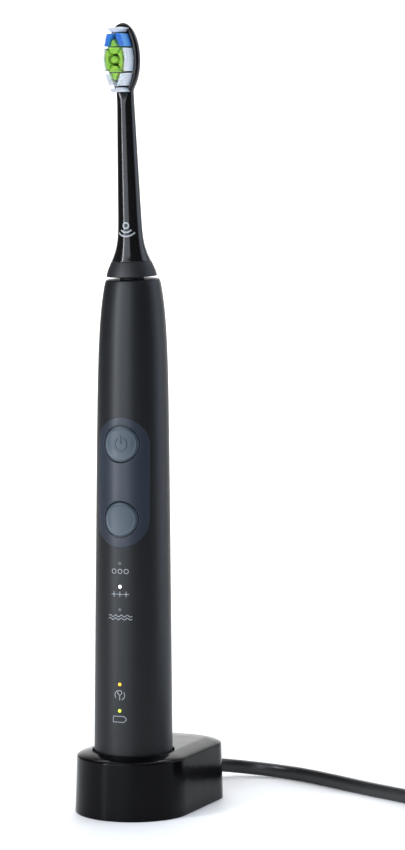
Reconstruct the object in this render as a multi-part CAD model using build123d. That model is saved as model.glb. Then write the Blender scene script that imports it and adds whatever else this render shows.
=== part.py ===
from build123d import *

import os
from math import atan2, cos, exp, pi, radians, sin, tan

# Electric toothbrush with a brush head on it, standing on its charger, with the charger's mains lead.
# Millimetres. The origin is on the floor under the handle's axis, +Z is up, and the buttons and
# the bristles face -Y. Nodes are written one by one to parts/NODE.step.

os.makedirs("parts", exist_ok=True)

# ---------------------------------------------------------------- driving dimensions

# Handle: a slim turned body whose radius falls slowly from the foot and quickly at the shoulder.
handle_foot_z = 18.8
handle_top_z = 185.0
foot_radius = 13.65
taper = 1.6
shoulder_drop = 2.65
shoulder_reach = 12.6
shell_wall = 1.6
top_wall = 2.4
foot_round = 0.8
top_round = 0.5

# Drive axis: leans to the front, and crosses the top face a little in front of its centre.
lean = 5.5
shaft_forward = 1.0
shaft_radius = 2.0
shaft_above = 21.0
shaft_below = 36.0
running_fit = 0.05

# Control pad and its two buttons on the front of the handle, placed below its top.
pad_below_top = 69.7
pad_height = 44.7
pad_width = 18.6
pad_depth = 0.8
pad_proud = 0.1
cutter_proud = 2.0
power_below_top = 56.6
power_radius = 6.2
mode_below_top = 82.4
mode_radius = 6.0
button_gap = 0.25
button_proud = 0.4
button_depth = 1.9
button_travel = 0.5
stem_radius = 1.6
stem_root = 1.0

# Indicator lights on the front: three for the mode, hung from the top, and two placed from the foot.
mode_lights_below_top = 97.4
mode_light_spacing = 7.95
head_light_above_foot = 27.3
battery_light_above_foot = 18.2
light_radius = 0.55
light_fit = 0.03

# Board, cell and what they carry, inside the handle.
board_back_y = -6.0
board_thickness = 1.0
board_width = 13.0
board_above_foot = 15.7
board_below_top = 45.0
switch_side = 6.0
switch_height = 1.6
plunger_radius = 1.3
plunger_proud = 0.8
plunger_inside = 0.7
well_spare = 0.1
led_size = 1.6
led_height = 0.8
led_gap = 0.2
controller_side = 6.0
controller_height = 0.9
charge_chip_width = 5.0
charge_chip_length = 6.0
charge_chip_height = 1.0
charge_chip_above_light = 12.8
inductor_radius = 2.4
inductor_height = 1.8
inductor_above_light = 5.0
cell_radius = 7.0
cell_length = 50.0
cell_above_foot = 22.2
cell_gap = 0.7
pole_radius = 2.7
pole_height = 1.0
tab_width = 4.0
tab_length = 9.0
tab_thickness = 0.3
chassis_wall = 1.2
inner_gap = 0.3

# Drive unit under the top of the handle, on the leaning axis.
drive_frame_radius = 6.2
drive_frame_wall = 0.8
drive_frame_top = 9.0
drive_frame_length = 48.0
bearing_length = 4.0
magnet_plate = 2.0
magnet_plate_width = 7.6
magnet_width = 3.0
magnet_offset = 2.2
magnet_height = 2.4
magnet_air_gap = 0.5
core_leg = 2.2
core_width = 8.6
core_height = 12.0
core_depth = 5.0
winding_width = 4.2
winding_over = 1.2
winding_clear = 1.0
spring_wire = 0.5
spring_radius = 3.3
spring_turns = 5
spring_clear = 1.0
shaft_tail = 2.0
shaft_flat = 0.5
shaft_flat_length = 8.0
seal_radius = 4.2
seal_flange = 1.6
seal_flange_depth = 1.5

# End cap with the blind socket that stands over the charging post.
cap_play = 0.05
cap_fit = 0.02
cap_thickness = 2.2
cap_skirt = 5.0
skirt_wall = 2.2
socket_clearance = 0.7
socket_wall = 1.0
socket_spare = 1.5
ring_section = 0.8
coil_wall = 0.6
coil_height = 7.5
coil_radius = 8.6

# Charger: a stadium front, straight sides and well rounded back corners, turned a little on the shelf.
charger_turn = -5.2
charger_radius = 20.3
charger_back = 41.0
charger_corner = 12.0
charger_height = 19.4
charger_draft = 0.6
crown_height = 2.2
crown_width = 5.6
charger_wall = 2.0
roof_wall = 1.8
seat_clearance = 0.65
seat_gap = 0.3
post_radius = 3.6
post_height = 11.0
post_wall = 1.0
post_round = 1.0
base_thickness = 2.0
base_fit = 0.1
primary_height = 9.0
primary_radius = 8.6
primary_above_base = 1.0
winding_inset = 0.4
charger_board_z = 4.0
charger_board_thickness = 1.6
charger_board_width = 30.0
charger_board_gap = 2.0
charger_board_length = 12.4
capacitor_radius = 3.2
capacitor_length = 11.0
capacitor_x = -8.0
transformer_width = 9.0
transformer_length = 10.0
transformer_height = 7.0
transformer_x = 8.0
charger_chip_width = 4.0
charger_chip_length = 5.0
charger_chip_height = 1.5
component_gap = 2.4

# Brush head, measured along the drive axis from the top face of the handle.
head_gap = 1.0
collar_height = 5.2
neck_root = 4.65
neck_slope = 0.0275
flare = 4.2
flare_reach = 8.3
neck_end = 65.8
platen_middle = 75.2
platen_half_height = 12.0
platen_half_width = 5.75
platen_front = 2.0
platen_back = 2.5
bristle_reach = 7.8
green_extra = 0.4
tuft_gap = 0.3
clip_wall = 0.7
clip_length = 18.0
spigot_radius = 5.0
spigot_wall = 0.8
spigot_clear = 0.6
tag_thickness = 0.5
tag_clear = 0.8
neck_bore_fit = 0.2
neck_bore_spare = 1.5

# Mains lead: 5 mm over the sheath, put away as a coil beside the object with its plug lying on it.
cord_diameter = 5.0
cord_exit_z = 7.0
relief_outside = 3.0
relief_inside = 17.5
relief_collar = 1.0
relief_radius = 4.4
relief_lip = 0.6
coil_middle_radius = 28.5
coil_centre = (126.5, 60.5)
coil_band_width = 16.0
coil_band_height = 10.6
coil_band_round = 3.0
tie_angle = 130.0
tie_arc = 16.0
tie_thickness = 0.7
tail_leaves = 23.5
tail_turn_radius = 22.0
tail_returns = 14.0
plug_width = 35.0
plug_thickness = 14.0
plug_length = 30.0
plug_round = 5.0
plug_sleeve = 9.0
plug_sleeve_radius = 5.0
pin_radius = 2.0
pin_length = 19.0
pin_spacing = 19.0

# ---------------------------------------------------------------- derived places

handle_length = handle_top_z - handle_foot_z
pad_middle_z = handle_top_z - pad_below_top
power_z = handle_top_z - power_below_top
mode_z = handle_top_z - mode_below_top
mode_light_z = handle_top_z - mode_lights_below_top
light_heights = {
    "mode_light_upper": mode_light_z,
    "mode_light_middle": mode_light_z - mode_light_spacing,
    "mode_light_lower": mode_light_z - 2 * mode_light_spacing,
    "brush_head_light": handle_foot_z + head_light_above_foot,
    "battery_light": handle_foot_z + battery_light_above_foot,
}
board_low_z = handle_foot_z + board_above_foot
board_high_z = handle_top_z - board_below_top
board_front_y = board_back_y - board_thickness
switch_front_y = board_front_y - switch_height
plunger_front_y = switch_front_y - plunger_proud
cell_low_z = handle_foot_z + cell_above_foot
cell_y = board_back_y + chassis_wall + cell_gap + cell_radius
cap_radius = foot_radius - shell_wall - cap_play
socket_radius = post_radius + socket_clearance
socket_depth = post_height - seat_gap + socket_spare
clip_radius = shaft_radius + clip_wall
head_inner = head_gap + spigot_clear
clip_low = head_inner + spigot_clear
seat_radius = foot_radius + seat_clearance
seat_floor_z = handle_foot_z - seat_gap
charger_board_front = primary_radius + charger_board_gap
charger_board_top = charger_board_z + charger_board_thickness
component_y = charger_board_front + component_gap
crown_z = charger_height + crown_height
axis_direction = (0, -sin(radians(lean)), cos(radians(lean)))
axis_origin = (0, -shaft_forward, handle_top_z - shaft_forward * tan(radians(lean)))
drive_place = Plane(origin=axis_origin, x_dir=(1, 0, 0), z_dir=axis_direction).location
charger_place = Rot(0, 0, charger_turn)
far = 100.0

parts = {}


# ---------------------------------------------------------------- small helpers

def tube(outer, inner, low, high):
    """A round tube on the Z axis between two heights."""
    body = Pos(0, 0, (low + high) / 2) * Cylinder(outer, high - low)
    if inner:
        body -= Pos(0, 0, (low + high) / 2) * Cylinder(inner, high - low)
    return body


def block(x_size, y_low, y_high, z_low, z_high, x_middle=0.0):
    """A box centred on x_middle between two Y planes and two heights."""
    middle = (x_middle, (y_low + y_high) / 2, (z_low + z_high) / 2)
    return Pos(*middle) * Box(x_size, y_high - y_low, z_high - z_low)


def rod_y(radius, y_low, y_high, z):
    """A round rod along Y at height z, its seam line at the top, where cuts through thin walls stay sound."""
    return Pos(0, (y_low + y_high) / 2, z) * Rot(90, 0, 90) * Cylinder(radius, y_high - y_low)


def turned(outline):
    """The solid that an outline of (radius, height) points or curves sweeps around Z."""
    return revolve(Plane.XZ * make_face(outline), Axis.Z)


def together(*solids):
    """Separate solids kept side by side in one node."""
    return Compound(children=list(solids))


# ---------------------------------------------------------------- handle

def handle_radius(z):
    """Outer radius: a straight taper, less a shoulder that dies away exponentially below the top."""
    depth = handle_top_z - z
    return (
        foot_radius
        - taper * (1 - depth / handle_length)
        - shoulder_drop * exp(-depth / shoulder_reach)
    )


def handle_solid(inset, low, high, stations=12):
    """The handle's turned form, inset evenly; stations crowd towards the curved shoulder."""
    heights = [high - (high - low) * (i / stations) ** 2 for i in range(stations + 1)]
    side = [(handle_radius(z) - inset, z) for z in heights]
    return turned([
        Spline(*side),
        Line(side[-1], (0, low)),
        Line((0, low), (0, high)),
        Line((0, high), side[0]),
    ])


def below_top(solid, depth):
    """What is left of a solid under a plane square to the drive axis, depth below the top face."""
    return solid - drive_place * Pos(0, 0, far / 2 - depth) * Box(far, far, far)


def handle_shell():
    """Moulded casing: open at the foot, closed at the top but for the seal's bore."""
    above = handle_top_z + 3
    body = below_top(handle_solid(0, handle_foot_z, above), 0)
    body = fillet(body.edges().group_by(Axis.Z)[0], foot_round)
    body = fillet(body.edges().group_by(Axis.Z)[-1], top_round)
    bore_top = handle_foot_z + cap_thickness + cap_skirt
    body -= below_top(handle_solid(shell_wall, bore_top, above), top_wall)
    body -= tube(cap_radius, 0, handle_foot_z, bore_top)
    body -= drive_place * tube(seal_radius, 0, -top_wall - 1, 1)
    body -= pad_solid(cutter_proud)
    for z, radius in ((power_z, power_radius), (mode_z, mode_radius)):
        body -= window(radius + button_gap, z)
    for z in light_heights.values():
        body -= window(light_radius + light_fit, z)
    return body


def window(radius, z):
    """Round cutter through the front wall, from well outside to just inside it."""
    return rod_y(radius, -handle_radius(z) - far / 4, -cap_radius + shell_wall * 2, z)


def pad_prism(grow):
    """The pad's outline, a slot on end, carried through the front of the handle."""
    outline = SlotOverall(pad_height + 2 * grow, pad_width + 2 * grow, rotation=90)
    return extrude(Plane((0, 0, pad_middle_z), (1, 0, 0), (0, -1, 0)) * outline, far / 2)


def pad_solid(proud):
    """The pad's curved sheet, sunk pad_depth in the casing and standing proud of it."""
    low = pad_middle_z - pad_height
    high = pad_middle_z + pad_height
    return (handle_solid(-proud, low, high) - handle_solid(pad_depth, low, high)) & pad_prism(0)


def control_pad():
    """Rubbery inlay with a round window for each button."""
    body = pad_solid(pad_proud)
    for z, radius in ((power_z, power_radius), (mode_z, mode_radius)):
        body -= rod_y(radius + button_gap, -far / 2, 0, z)
    return body


def button(z, radius):
    """Curved button cap with the stem that reaches its switch."""
    low = z - 2 * radius
    high = z + 2 * radius
    cap = handle_solid(-button_proud, low, high) - handle_solid(button_depth, low, high)
    cap &= rod_y(radius, -far / 2, 0, z)
    stem = rod_y(stem_radius, -handle_radius(z) + stem_root, plunger_front_y, z)
    return cap + stem


def switch_plunger(z):
    """The switch's moving pin, pushed by the button's stem."""
    return rod_y(plunger_radius, plunger_front_y, switch_front_y + plunger_inside, z)


def tact_switches():
    """Two board switches, each with the well in which its plunger slides."""
    solids = []
    for z in (power_z, mode_z):
        half = switch_side / 2
        body = block(switch_side, switch_front_y, board_front_y, z - half, z + half)
        well_end = switch_front_y + plunger_inside + button_travel + well_spare
        solids.append(body - rod_y(plunger_radius + running_fit, switch_front_y, well_end, z))
    return together(*solids)


def light_pipe(z):
    """Clear rod from just in front of its lamp to the outer surface."""
    return rod_y(light_radius, -handle_radius(z), board_front_y - led_height - led_gap, z)


def indicator_lamps():
    """Five small lamps on the board, one behind each light pipe."""
    half = led_size / 2
    return together(*[
        block(led_size, board_front_y - led_height, board_front_y, z - half, z + half)
        for z in light_heights.values()
    ])


def circuit_board():
    """Long narrow board behind the controls."""
    return block(board_width, board_front_y, board_back_y, board_low_z, board_high_z)


def controller_chip():
    """Main controller between the two switches."""
    low = (power_z + mode_z - controller_side) / 2
    front = board_front_y - controller_height
    return block(controller_side, front, board_front_y, low, low + controller_side)


def charge_chip():
    """Charging controller on the lower part of the board."""
    low = light_heights["brush_head_light"] + charge_chip_above_light - charge_chip_length / 2
    front = board_front_y - charge_chip_height
    return block(charge_chip_width, front, board_front_y, low, low + charge_chip_length)


def board_inductor():
    """Round power inductor under the charging controller."""
    middle = light_heights["brush_head_light"] + inductor_above_light
    return rod_y(inductor_radius, board_front_y - inductor_height, board_front_y, middle)


def cell():
    """Rechargeable cell with its small raised pole."""
    shoulder = cell_low_z + cell_length - pole_height
    body = tube(cell_radius, 0, cell_low_z, shoulder)
    pole = tube(pole_radius, 0, shoulder, shoulder + pole_height)
    return Pos(0, cell_y, 0) * (body + pole)


def cell_tabs():
    """Welded strips at the two ends of the cell."""
    high = cell_low_z + cell_length
    tabs = []
    for low in (cell_low_z - tab_thickness, high):
        front = cell_y - tab_length + pole_radius
        tabs.append(block(tab_width, front, front + tab_length, low, low + tab_thickness))
    return together(*tabs)


def chassis():
    """Carrier: a spine between board and cell, with a floor and a ceiling for the cell."""
    spine_back = board_back_y + chassis_wall
    low = cell_low_z - tab_thickness - inner_gap - chassis_wall
    high = cell_low_z + cell_length + tab_thickness + inner_gap
    body = block(board_width, board_back_y, spine_back, board_low_z, board_high_z)
    for z in (low, high):
        body += block(2 * cap_radius, board_back_y, cap_radius, z, z + chassis_wall)
    limit = handle_solid(shell_wall + inner_gap, board_low_z - 1, board_high_z + 1)
    return body & limit


# ---------------------------------------------------------------- end cap and receiving coil

def end_cap():
    """Plug in the handle's foot: sealed skirt and the socket for the charging post."""
    low = handle_foot_z
    body = tube(cap_radius - cap_fit, 0, low, low + cap_thickness)
    skirt_high = low + cap_thickness + cap_skirt - 1
    body += tube(cap_radius - cap_fit, cap_radius - skirt_wall, low, skirt_high)
    body += tube(socket_radius + socket_wall, 0, low, low + socket_depth + socket_wall)
    body -= tube(socket_radius, 0, low, low + socket_depth)
    return body - cap_ring_torus()


def cap_ring_torus():
    """Round section ring in the skirt's groove."""
    z = handle_foot_z + cap_thickness + cap_skirt / 2
    return Pos(0, 0, z) * Torus(cap_radius - ring_section, ring_section)


def receiving_former():
    """Bobbin around the socket."""
    inner = socket_radius + socket_wall
    low = handle_foot_z + cap_thickness
    high = low + coil_height + 2 * coil_wall
    body = tube(inner + coil_wall, inner, low, high)
    body += tube(coil_radius, inner, low, low + coil_wall)
    body += tube(coil_radius, inner, high - coil_wall, high)
    return body


def receiving_coil():
    """Copper winding that picks up power from the charger."""
    inner = socket_radius + socket_wall + coil_wall
    low = handle_foot_z + cap_thickness + coil_wall
    return tube(coil_radius - winding_inset, inner, low, low + coil_height)


# ---------------------------------------------------------------- drive unit, in the drive axis' own frame

def drive_frame():
    """Tubular bracket that holds the bearings, the core and the spring's fixed end."""
    low = -drive_frame_top - drive_frame_length
    return tube(drive_frame_radius, drive_frame_radius - drive_frame_wall, low, -drive_frame_top)


def bearing(high):
    """Plain bush with a running fit on the shaft."""
    outer = drive_frame_radius - drive_frame_wall
    return tube(outer, shaft_radius + running_fit, high - bearing_length, high)


def drive_shaft():
    """Steel shaft with the flat that keys the brush head near its free end."""
    body = tube(shaft_radius, 0, -shaft_below, shaft_above)
    body = chamfer(body.edges().group_by(Axis.Z)[-1], 0.4)
    flat_low = shaft_above - shaft_flat_length
    return body - block(far, shaft_radius - shaft_flat, shaft_radius + 1, flat_low, shaft_above + 1)


def magnet_carrier():
    """Steel yoke on the shaft's lower end."""
    low = -shaft_below - magnet_plate
    return block(magnet_plate_width, -core_depth / 2, core_depth / 2, low, -shaft_below)


def drive_magnets():
    """Two magnets under the yoke, facing the core's legs."""
    high = -shaft_below - magnet_plate
    low = high - magnet_height
    return together(*[
        block(magnet_width, -core_depth / 2, core_depth / 2, low, high, side * magnet_offset)
        for side in (-1, 1)
    ])


def stator_core():
    """E shaped laminated core, its three legs reaching up to the magnets."""
    high = -shaft_below - magnet_plate - magnet_height - magnet_air_gap
    low = high - core_height
    body = block(core_width, -core_depth / 2, core_depth / 2, low, low + core_leg)
    body += block(core_leg, -core_depth / 2, core_depth / 2, low, high)
    outer_leg = core_leg * 0.7
    for side in (-1, 1):
        middle = side * (core_width - outer_leg) / 2
        body += block(outer_leg, -core_depth / 2, core_depth / 2, low, high, middle)
    return body


def stator_coil():
    """Winding around the core's middle leg."""
    core_high = -shaft_below - magnet_plate - magnet_height - magnet_air_gap
    high = core_high - winding_clear
    low = core_high - core_height + core_leg + winding_clear
    reach = core_depth / 2 + winding_over
    body = block(winding_width, -reach, reach, low, high)
    return body - block(core_leg, -core_depth / 2, core_depth / 2, low, high)


def centring_spring():
    """Coiled steel wire that swings the shaft back to its middle."""
    high = -drive_frame_top - bearing_length - spring_clear
    low = -shaft_below + shaft_tail + bearing_length + spring_clear
    height = high - low
    path = Pos(0, 0, low) * Helix(height / spring_turns, height, spring_radius)
    start = path @ 0
    section = Plane(start, z_dir=path % 0) * Circle(spring_wire)
    return sweep(section, path)


def shaft_seal():
    """Rubber seal in the bore of the top, seen as the dark ring under the brush head."""
    body = tube(seal_radius, shaft_radius + running_fit, -top_wall, head_gap - 0.4)
    flange_low = -top_wall - seal_flange_depth
    body += tube(seal_radius + seal_flange, shaft_radius + running_fit, flange_low, -top_wall)
    return body


# ---------------------------------------------------------------- brush head, in the drive axis' own frame

def neck_radius(s):
    """A slow taper plus a bell that flares to the collar."""
    return neck_root - neck_slope * s + flare * exp(-((s / flare_reach) ** 2))


def neck_solid(low, high, stations=10):
    """The neck's turned form between two distances along the axis."""
    marks = [low + (high - low) * (i / stations) ** 1.5 for i in range(stations + 1)]
    side = [(neck_radius(s), s) for s in marks]
    return turned([
        Spline(*side),
        Line(side[-1], (0, high)),
        Line((0, high), (0, low)),
        Line((0, low), side[0]),
    ])


def platen():
    """Oval plate that holds the bristles, its back rounded over."""
    outline = Ellipse(platen_half_width, platen_half_height)
    place = Plane((0, -platen_front, platen_middle), (1, 0, 0), (0, 1, 0))
    body = extrude(place * outline, platen_front + platen_back)
    back = body.edges().group_by(Axis.Y)[-1]
    return fillet(back, platen_back * 0.9)


def brush_neck():
    """Neck and platen in one moulding, hollow at the foot for the clip and the shaft."""
    collar_top = head_gap + collar_height
    body = neck_solid(collar_top, neck_end) + platen()
    body += tube(spigot_radius, 0, head_inner, collar_top)
    body -= tube(clip_radius, 0, 0, clip_low + clip_length)
    body -= tube(shaft_radius + neck_bore_fit, 0, 0, shaft_above + neck_bore_spare)
    return body - tube(spigot_radius - spigot_wall, 0, 0, clip_low)


def head_collar():
    """Soft flared ring at the foot of the head."""
    collar_top = head_gap + collar_height
    return neck_solid(head_gap, collar_top) - tube(spigot_radius, 0, head_gap, collar_top)


def shaft_clip():
    """Sleeve in the neck that grips the shaft."""
    return tube(clip_radius, shaft_radius + running_fit, clip_low, clip_low + clip_length)


def id_tag():
    """Flat ring with the chip by which the handle knows the head."""
    outer = spigot_radius - spigot_wall - running_fit
    return tube(outer, shaft_radius + tag_clear, head_inner, head_inner + tag_thickness)


def tuft(points, reach):
    """A block of bristles standing on the platen, from an outline of (x, distance) points."""
    place = Plane((0, -platen_front, 0), (1, 0, 0), (0, -1, 0))
    return extrude(place * make_face(Polyline(*points, close=True)), reach)


def both_sides(points):
    """An outline and its mirror image across the middle of the head."""
    return [points, [(-x, s) for x, s in reversed(points)]]


# Rows of the bristle field along the axis, from its tip to its heel, and its half widths.
row_tip = 85.6
row_wings = 83.8
row_middle_high = 79.0
row_middle_low = 70.6
row_heel_high = 65.8
row_heel = 63.8
field_half = 4.0
field_bulge = 4.5
core_half = 2.5
core_bulge = 2.95
wedge_half = 1.35
wedge_height = 3.0
hub_radius = 1.2


def white_bristles():
    """Tip and heel rows, the two side banks and the two lower wings."""
    middle = (row_middle_high + row_middle_low) / 2
    gap = tuft_gap
    outlines = [
        [(-3.1, row_tip), (3.1, row_tip), (1.7, row_wings), (-1.7, row_wings)],
        [(-1.9, row_heel_high - gap), (1.9, row_heel_high - gap), (2.7, row_heel), (-2.7, row_heel)],
    ]
    outlines += both_sides([
        (core_half + gap, row_middle_high - gap),
        (field_half, row_middle_high - gap),
        (field_bulge, middle),
        (field_half, row_middle_low),
        (core_half + gap, row_middle_low),
        (core_bulge + gap, middle),
    ])
    outlines += both_sides([
        (wedge_half + gap, row_middle_low - gap),
        (field_half, row_middle_low - gap),
        (2.5, row_heel_high),
        (gap / 2, row_heel_high),
    ])
    neck = neck_solid(head_gap + collar_height, neck_end)
    return together(*[tuft(points, bristle_reach) - neck for points in outlines])


def blue_bristles():
    """Two wings under the tip row."""
    outlines = both_sides([
        (tuft_gap / 2, row_wings - tuft_gap),
        (2.7, row_wings - tuft_gap),
        (3.9, row_middle_high),
        (wedge_half + tuft_gap, row_middle_high),
    ])
    return together(*[tuft(points, bristle_reach) for points in outlines])


def green_bristles():
    """Barrel in the middle, split in four around a round hub, with a wedge above and below."""
    middle = (row_middle_high + row_middle_low) / 2
    high = row_middle_high - tuft_gap
    reach = bristle_reach + green_extra
    apex = row_middle_high + wedge_height
    nadir = row_middle_low - tuft_gap - wedge_height
    outlines = [
        [(-wedge_half, row_middle_high), (wedge_half, row_middle_high), (0, apex)],
        [(-wedge_half, row_middle_low - tuft_gap), (wedge_half, row_middle_low - tuft_gap), (0, nadir)],
    ]
    solids = [tuft(points, reach) for points in outlines]
    barrel = tuft([
        (-core_half, high), (core_half, high), (core_bulge, middle),
        (core_half, row_middle_low), (-core_half, row_middle_low), (-core_bulge, middle),
    ], reach)
    half_height = (high - row_middle_low) / 2
    cross_angle = atan2(half_height, core_half)
    for side in (-1, 1):
        slit = Box(tuft_gap, far, far)
        turn = 90 - side * cross_angle * 180 / pi
        barrel -= Pos(0, 0, (high + row_middle_low) / 2) * Rot(0, turn, 0) * slit
    hub_place = Pos(0, 0, (high + row_middle_low) / 2)
    barrel -= hub_place * Rot(90, 0, 0) * Cylinder(hub_radius + tuft_gap, far)
    hub = rod_y(hub_radius, -platen_front - reach, -platen_front, (high + row_middle_low) / 2)
    return together(*solids, *barrel.solids(), hub)


# ---------------------------------------------------------------- charger, in its own turned frame

def charger_plan(inset):
    """Outline of the charger seen from above, moved inwards by inset."""
    front = charger_radius - inset
    back = charger_back - inset
    corner = max(charger_corner - inset, 1.0)
    lower = back - corner
    inner = front - corner
    knee = corner * cos(pi / 4)
    return make_face([
        ThreePointArc((-front, 0), (0, -front), (front, 0)),
        Line((front, 0), (front, lower)),
        ThreePointArc((front, lower), (inner + knee, lower + knee), (inner, back)),
        Line((inner, back), (-inner, back)),
        ThreePointArc((-inner, back), (-inner - knee, lower + knee), (-front, lower)),
        Line((-front, lower), (-front, 0)),
    ])


def crown_inset(t):
    """Width of the crown that is left at a share t of its height: steep at the edge, flat inside."""
    return charger_draft + crown_width * t * t


def charger_form():
    """Drafted walls with a crowned top."""
    walls = loft([charger_plan(0), Pos(0, 0, charger_height) * charger_plan(charger_draft)], ruled=True)
    steps = 4
    rings = [
        Pos(0, 0, charger_height + crown_height * i / steps) * charger_plan(crown_inset(i / steps))
        for i in range(steps + 1)
    ]
    return walls + loft(rings, ruled=True)


def charger_cavity():
    """Hollow under the housing's roof."""
    high = seat_floor_z - roof_wall
    return loft([
        charger_plan(charger_wall),
        Pos(0, 0, high) * charger_plan(charger_wall + charger_draft),
    ], ruled=True)


def charger_housing():
    """Glossy upper shell with the handle's seat and the hollow charging post."""
    body = charger_form() - charger_cavity()
    body -= tube(seat_radius, 0, seat_floor_z, crown_z + 1)
    post = tube(post_radius, 0, seat_floor_z - roof_wall, seat_floor_z + post_height)
    body += fillet(post.edges().group_by(Axis.Z)[-1], post_round)
    bore_low = seat_floor_z - roof_wall - 1
    body -= tube(post_radius - post_wall, 0, bore_low, seat_floor_z + post_height - post_wall)
    gland = Pos(0, charger_back, cord_exit_z) * Rot(90, 0, 0) * Cylinder(relief_radius, 4 * charger_wall)
    return body - gland


def charger_base_plate():
    """Flat cover welded into the housing's open underside."""
    return extrude(charger_plan(charger_wall + base_fit), base_thickness)


def ferrite_core():
    """Rod that carries the field up into the post."""
    top = seat_floor_z + post_height - post_wall - inner_gap
    return tube(post_radius - post_wall - inner_gap, 0, base_thickness, top)


def primary_former():
    """Bobbin around the foot of the core."""
    inner = post_radius - post_wall
    low = base_thickness + primary_above_base
    high = low + primary_height + 2 * coil_wall
    body = tube(inner + coil_wall, inner, low, high)
    body += tube(primary_radius, inner, low, low + coil_wall)
    body += tube(primary_radius, inner, high - coil_wall, high)
    return body


def primary_coil():
    """Copper winding that sends the power."""
    inner = post_radius - post_wall + coil_wall
    low = base_thickness + primary_above_base + coil_wall
    return tube(primary_radius - winding_inset, inner, low, low + primary_height)


def charger_board():
    """Board behind the winding."""
    back = charger_board_front + charger_board_length
    return block(charger_board_width, charger_board_front, back, charger_board_z, charger_board_top)


def charger_capacitor():
    """Reservoir capacitor lying on the board."""
    place = Pos(capacitor_x, component_y + 2 * capacitor_radius, charger_board_top + capacitor_radius)
    return place * Rot(0, 90, 0) * Cylinder(capacitor_radius, capacitor_length)


def charger_transformer():
    """Small ferrite choke beside the capacitor."""
    back = component_y + transformer_length - 1
    high = charger_board_top + transformer_height
    return block(transformer_width, back - transformer_length, back, charger_board_top, high, transformer_x)


def charger_chip():
    """Switching controller."""
    front = component_y - 1
    high = charger_board_top + charger_chip_height
    return block(charger_chip_width, front, front + charger_chip_length, charger_board_top, high)


def strain_relief():
    """Tapered sleeve that grips the lead in the back wall."""
    low = charger_back - relief_inside
    collar = charger_back + relief_collar
    high = charger_back + relief_outside
    tip_radius = cord_diameter / 2 + relief_lip
    steps = turned([
        Line((0, low), (tip_radius, low)),
        Line((tip_radius, low), (relief_radius, charger_back - charger_wall)),
        Line((relief_radius, charger_back - charger_wall), (relief_radius, collar)),
        Line((relief_radius, collar), (tip_radius, high)),
        Line((tip_radius, high), (0, high)),
        Line((0, high), (0, low)),
    ])
    return Pos(0, 0, cord_exit_z) * Rot(-90, 0, 0) * steps


# ---------------------------------------------------------------- mains lead, in the shelf's frame

def turned_point(x, y, z):
    """A point of the charger's own frame, carried into the frame of the shelf."""
    angle = radians(charger_turn)
    return (x * cos(angle) - y * sin(angle), x * sin(angle) + y * cos(angle), z)


cord_floor = cord_diameter / 2
coil_entry_angle = radians(248)
coil_outer_turn = coil_middle_radius + (coil_band_width - cord_diameter) / 2
relief_end = charger_back + relief_outside
cord_route = [
    turned_point(0, relief_end, cord_exit_z),
    turned_point(0, relief_end + 9.0, cord_exit_z),
    (7.7, 61.3, 5.6),
    (13.7, 68.0, 4.2),
    (21.8, 71.8, 3.1),
    (30.8, 72.2, cord_floor),
    (40.9, 68.8, cord_floor),
    (53.2, 61.9, cord_floor),
    (68.8, 51.9, cord_floor),
    (88.6, 41.2, cord_floor),
    (
        coil_centre[0] + coil_outer_turn * cos(coil_entry_angle),
        coil_centre[1] + coil_outer_turn * sin(coil_entry_angle),
        cord_floor,
    ),
]
tail_x = coil_centre[0] + coil_outer_turn
tail_z = cord_exit_z
tail_turn_y = coil_centre[1] + tail_leaves
plug_x = tail_x - 2 * tail_turn_radius
plug_y = tail_turn_y - tail_returns
plug_z = coil_band_height + plug_thickness / 2


def tail_corner(share):
    """A corner of the tail's half turn back over the coil, a share of the way up to the plug."""
    angle = pi / 8 + share * pi * 3 / 4
    reach = tail_turn_radius / cos(pi / 8)
    rise = share * share * (3 - 2 * share)
    return (
        tail_x - tail_turn_radius + reach * cos(angle),
        tail_turn_y + reach * sin(angle),
        tail_z + rise * (plug_z - tail_z),
    )


tail_route = [
    (tail_x, coil_centre[1], tail_z),
    *[tail_corner(share) for share in (0, 1 / 3, 2 / 3, 1)],
    (plug_x, plug_y, plug_z),
]


def rounded_path(points, name):
    """Straight runs joined by tangent arcs, each as large as its two runs allow."""
    radii = []
    for before, here, after in zip(points, points[1:], points[2:]):
        first = Vector(*here) - Vector(*before)
        second = Vector(*after) - Vector(*here)
        turn = radians(first.get_angle(second))
        radii.append(0.45 * min(first.length, second.length) / tan(turn / 2))
    print(name, "radii", [round(r, 1) for r in radii])
    return FilletPolyline(*points, radius=radii)


def cord_tube(points, name):
    """The lead's own round section along its rounded path."""
    path = rounded_path(points, name)
    section = Plane(path @ 0, z_dir=path % 0) * Circle(cord_diameter / 2)
    solid = sweep(section, path)
    expected = pi * (cord_diameter / 2) ** 2 * path.length
    print(name, "length", round(path.length, 1), "volume share", round(solid.volume / expected, 4))
    return solid


def coil_ring(shrink, arc):
    """The coil's outer shape, a flat ring of rounded section, or a sector of it."""
    width = coil_band_width - 2 * shrink
    height = coil_band_height - 2 * shrink
    middle = (coil_middle_radius, coil_band_height / 2)
    section = Pos(*middle) * RectangleRounded(width, height, coil_band_round - shrink)
    ring = revolve(Plane.XZ * section, Axis.Z, arc)
    return Pos(*coil_centre) * ring


def coil_tie():
    """Strap drawn tight round the bundle."""
    return Pos(*coil_centre) * Rot(0, 0, tie_angle) * Pos(-coil_centre[0], -coil_centre[1]) * (
        coil_ring(0, tie_arc) - coil_ring(tie_thickness, tie_arc)
    )


def cord_coil():
    """The put away length of the lead, as the solid its turns fill."""
    return coil_ring(0, 360) - coil_tie()


def power_cord():
    """The lead from the strain relief to the coil."""
    return cord_tube(cord_route, "power_cord") - coil_ring(0, 360)


def cord_tail():
    """End of the lead, which leaves the coil, turns back and rises to the plug lying on the coil."""
    return cord_tube(tail_route, "cord_tail") - coil_ring(0, 360)


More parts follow.
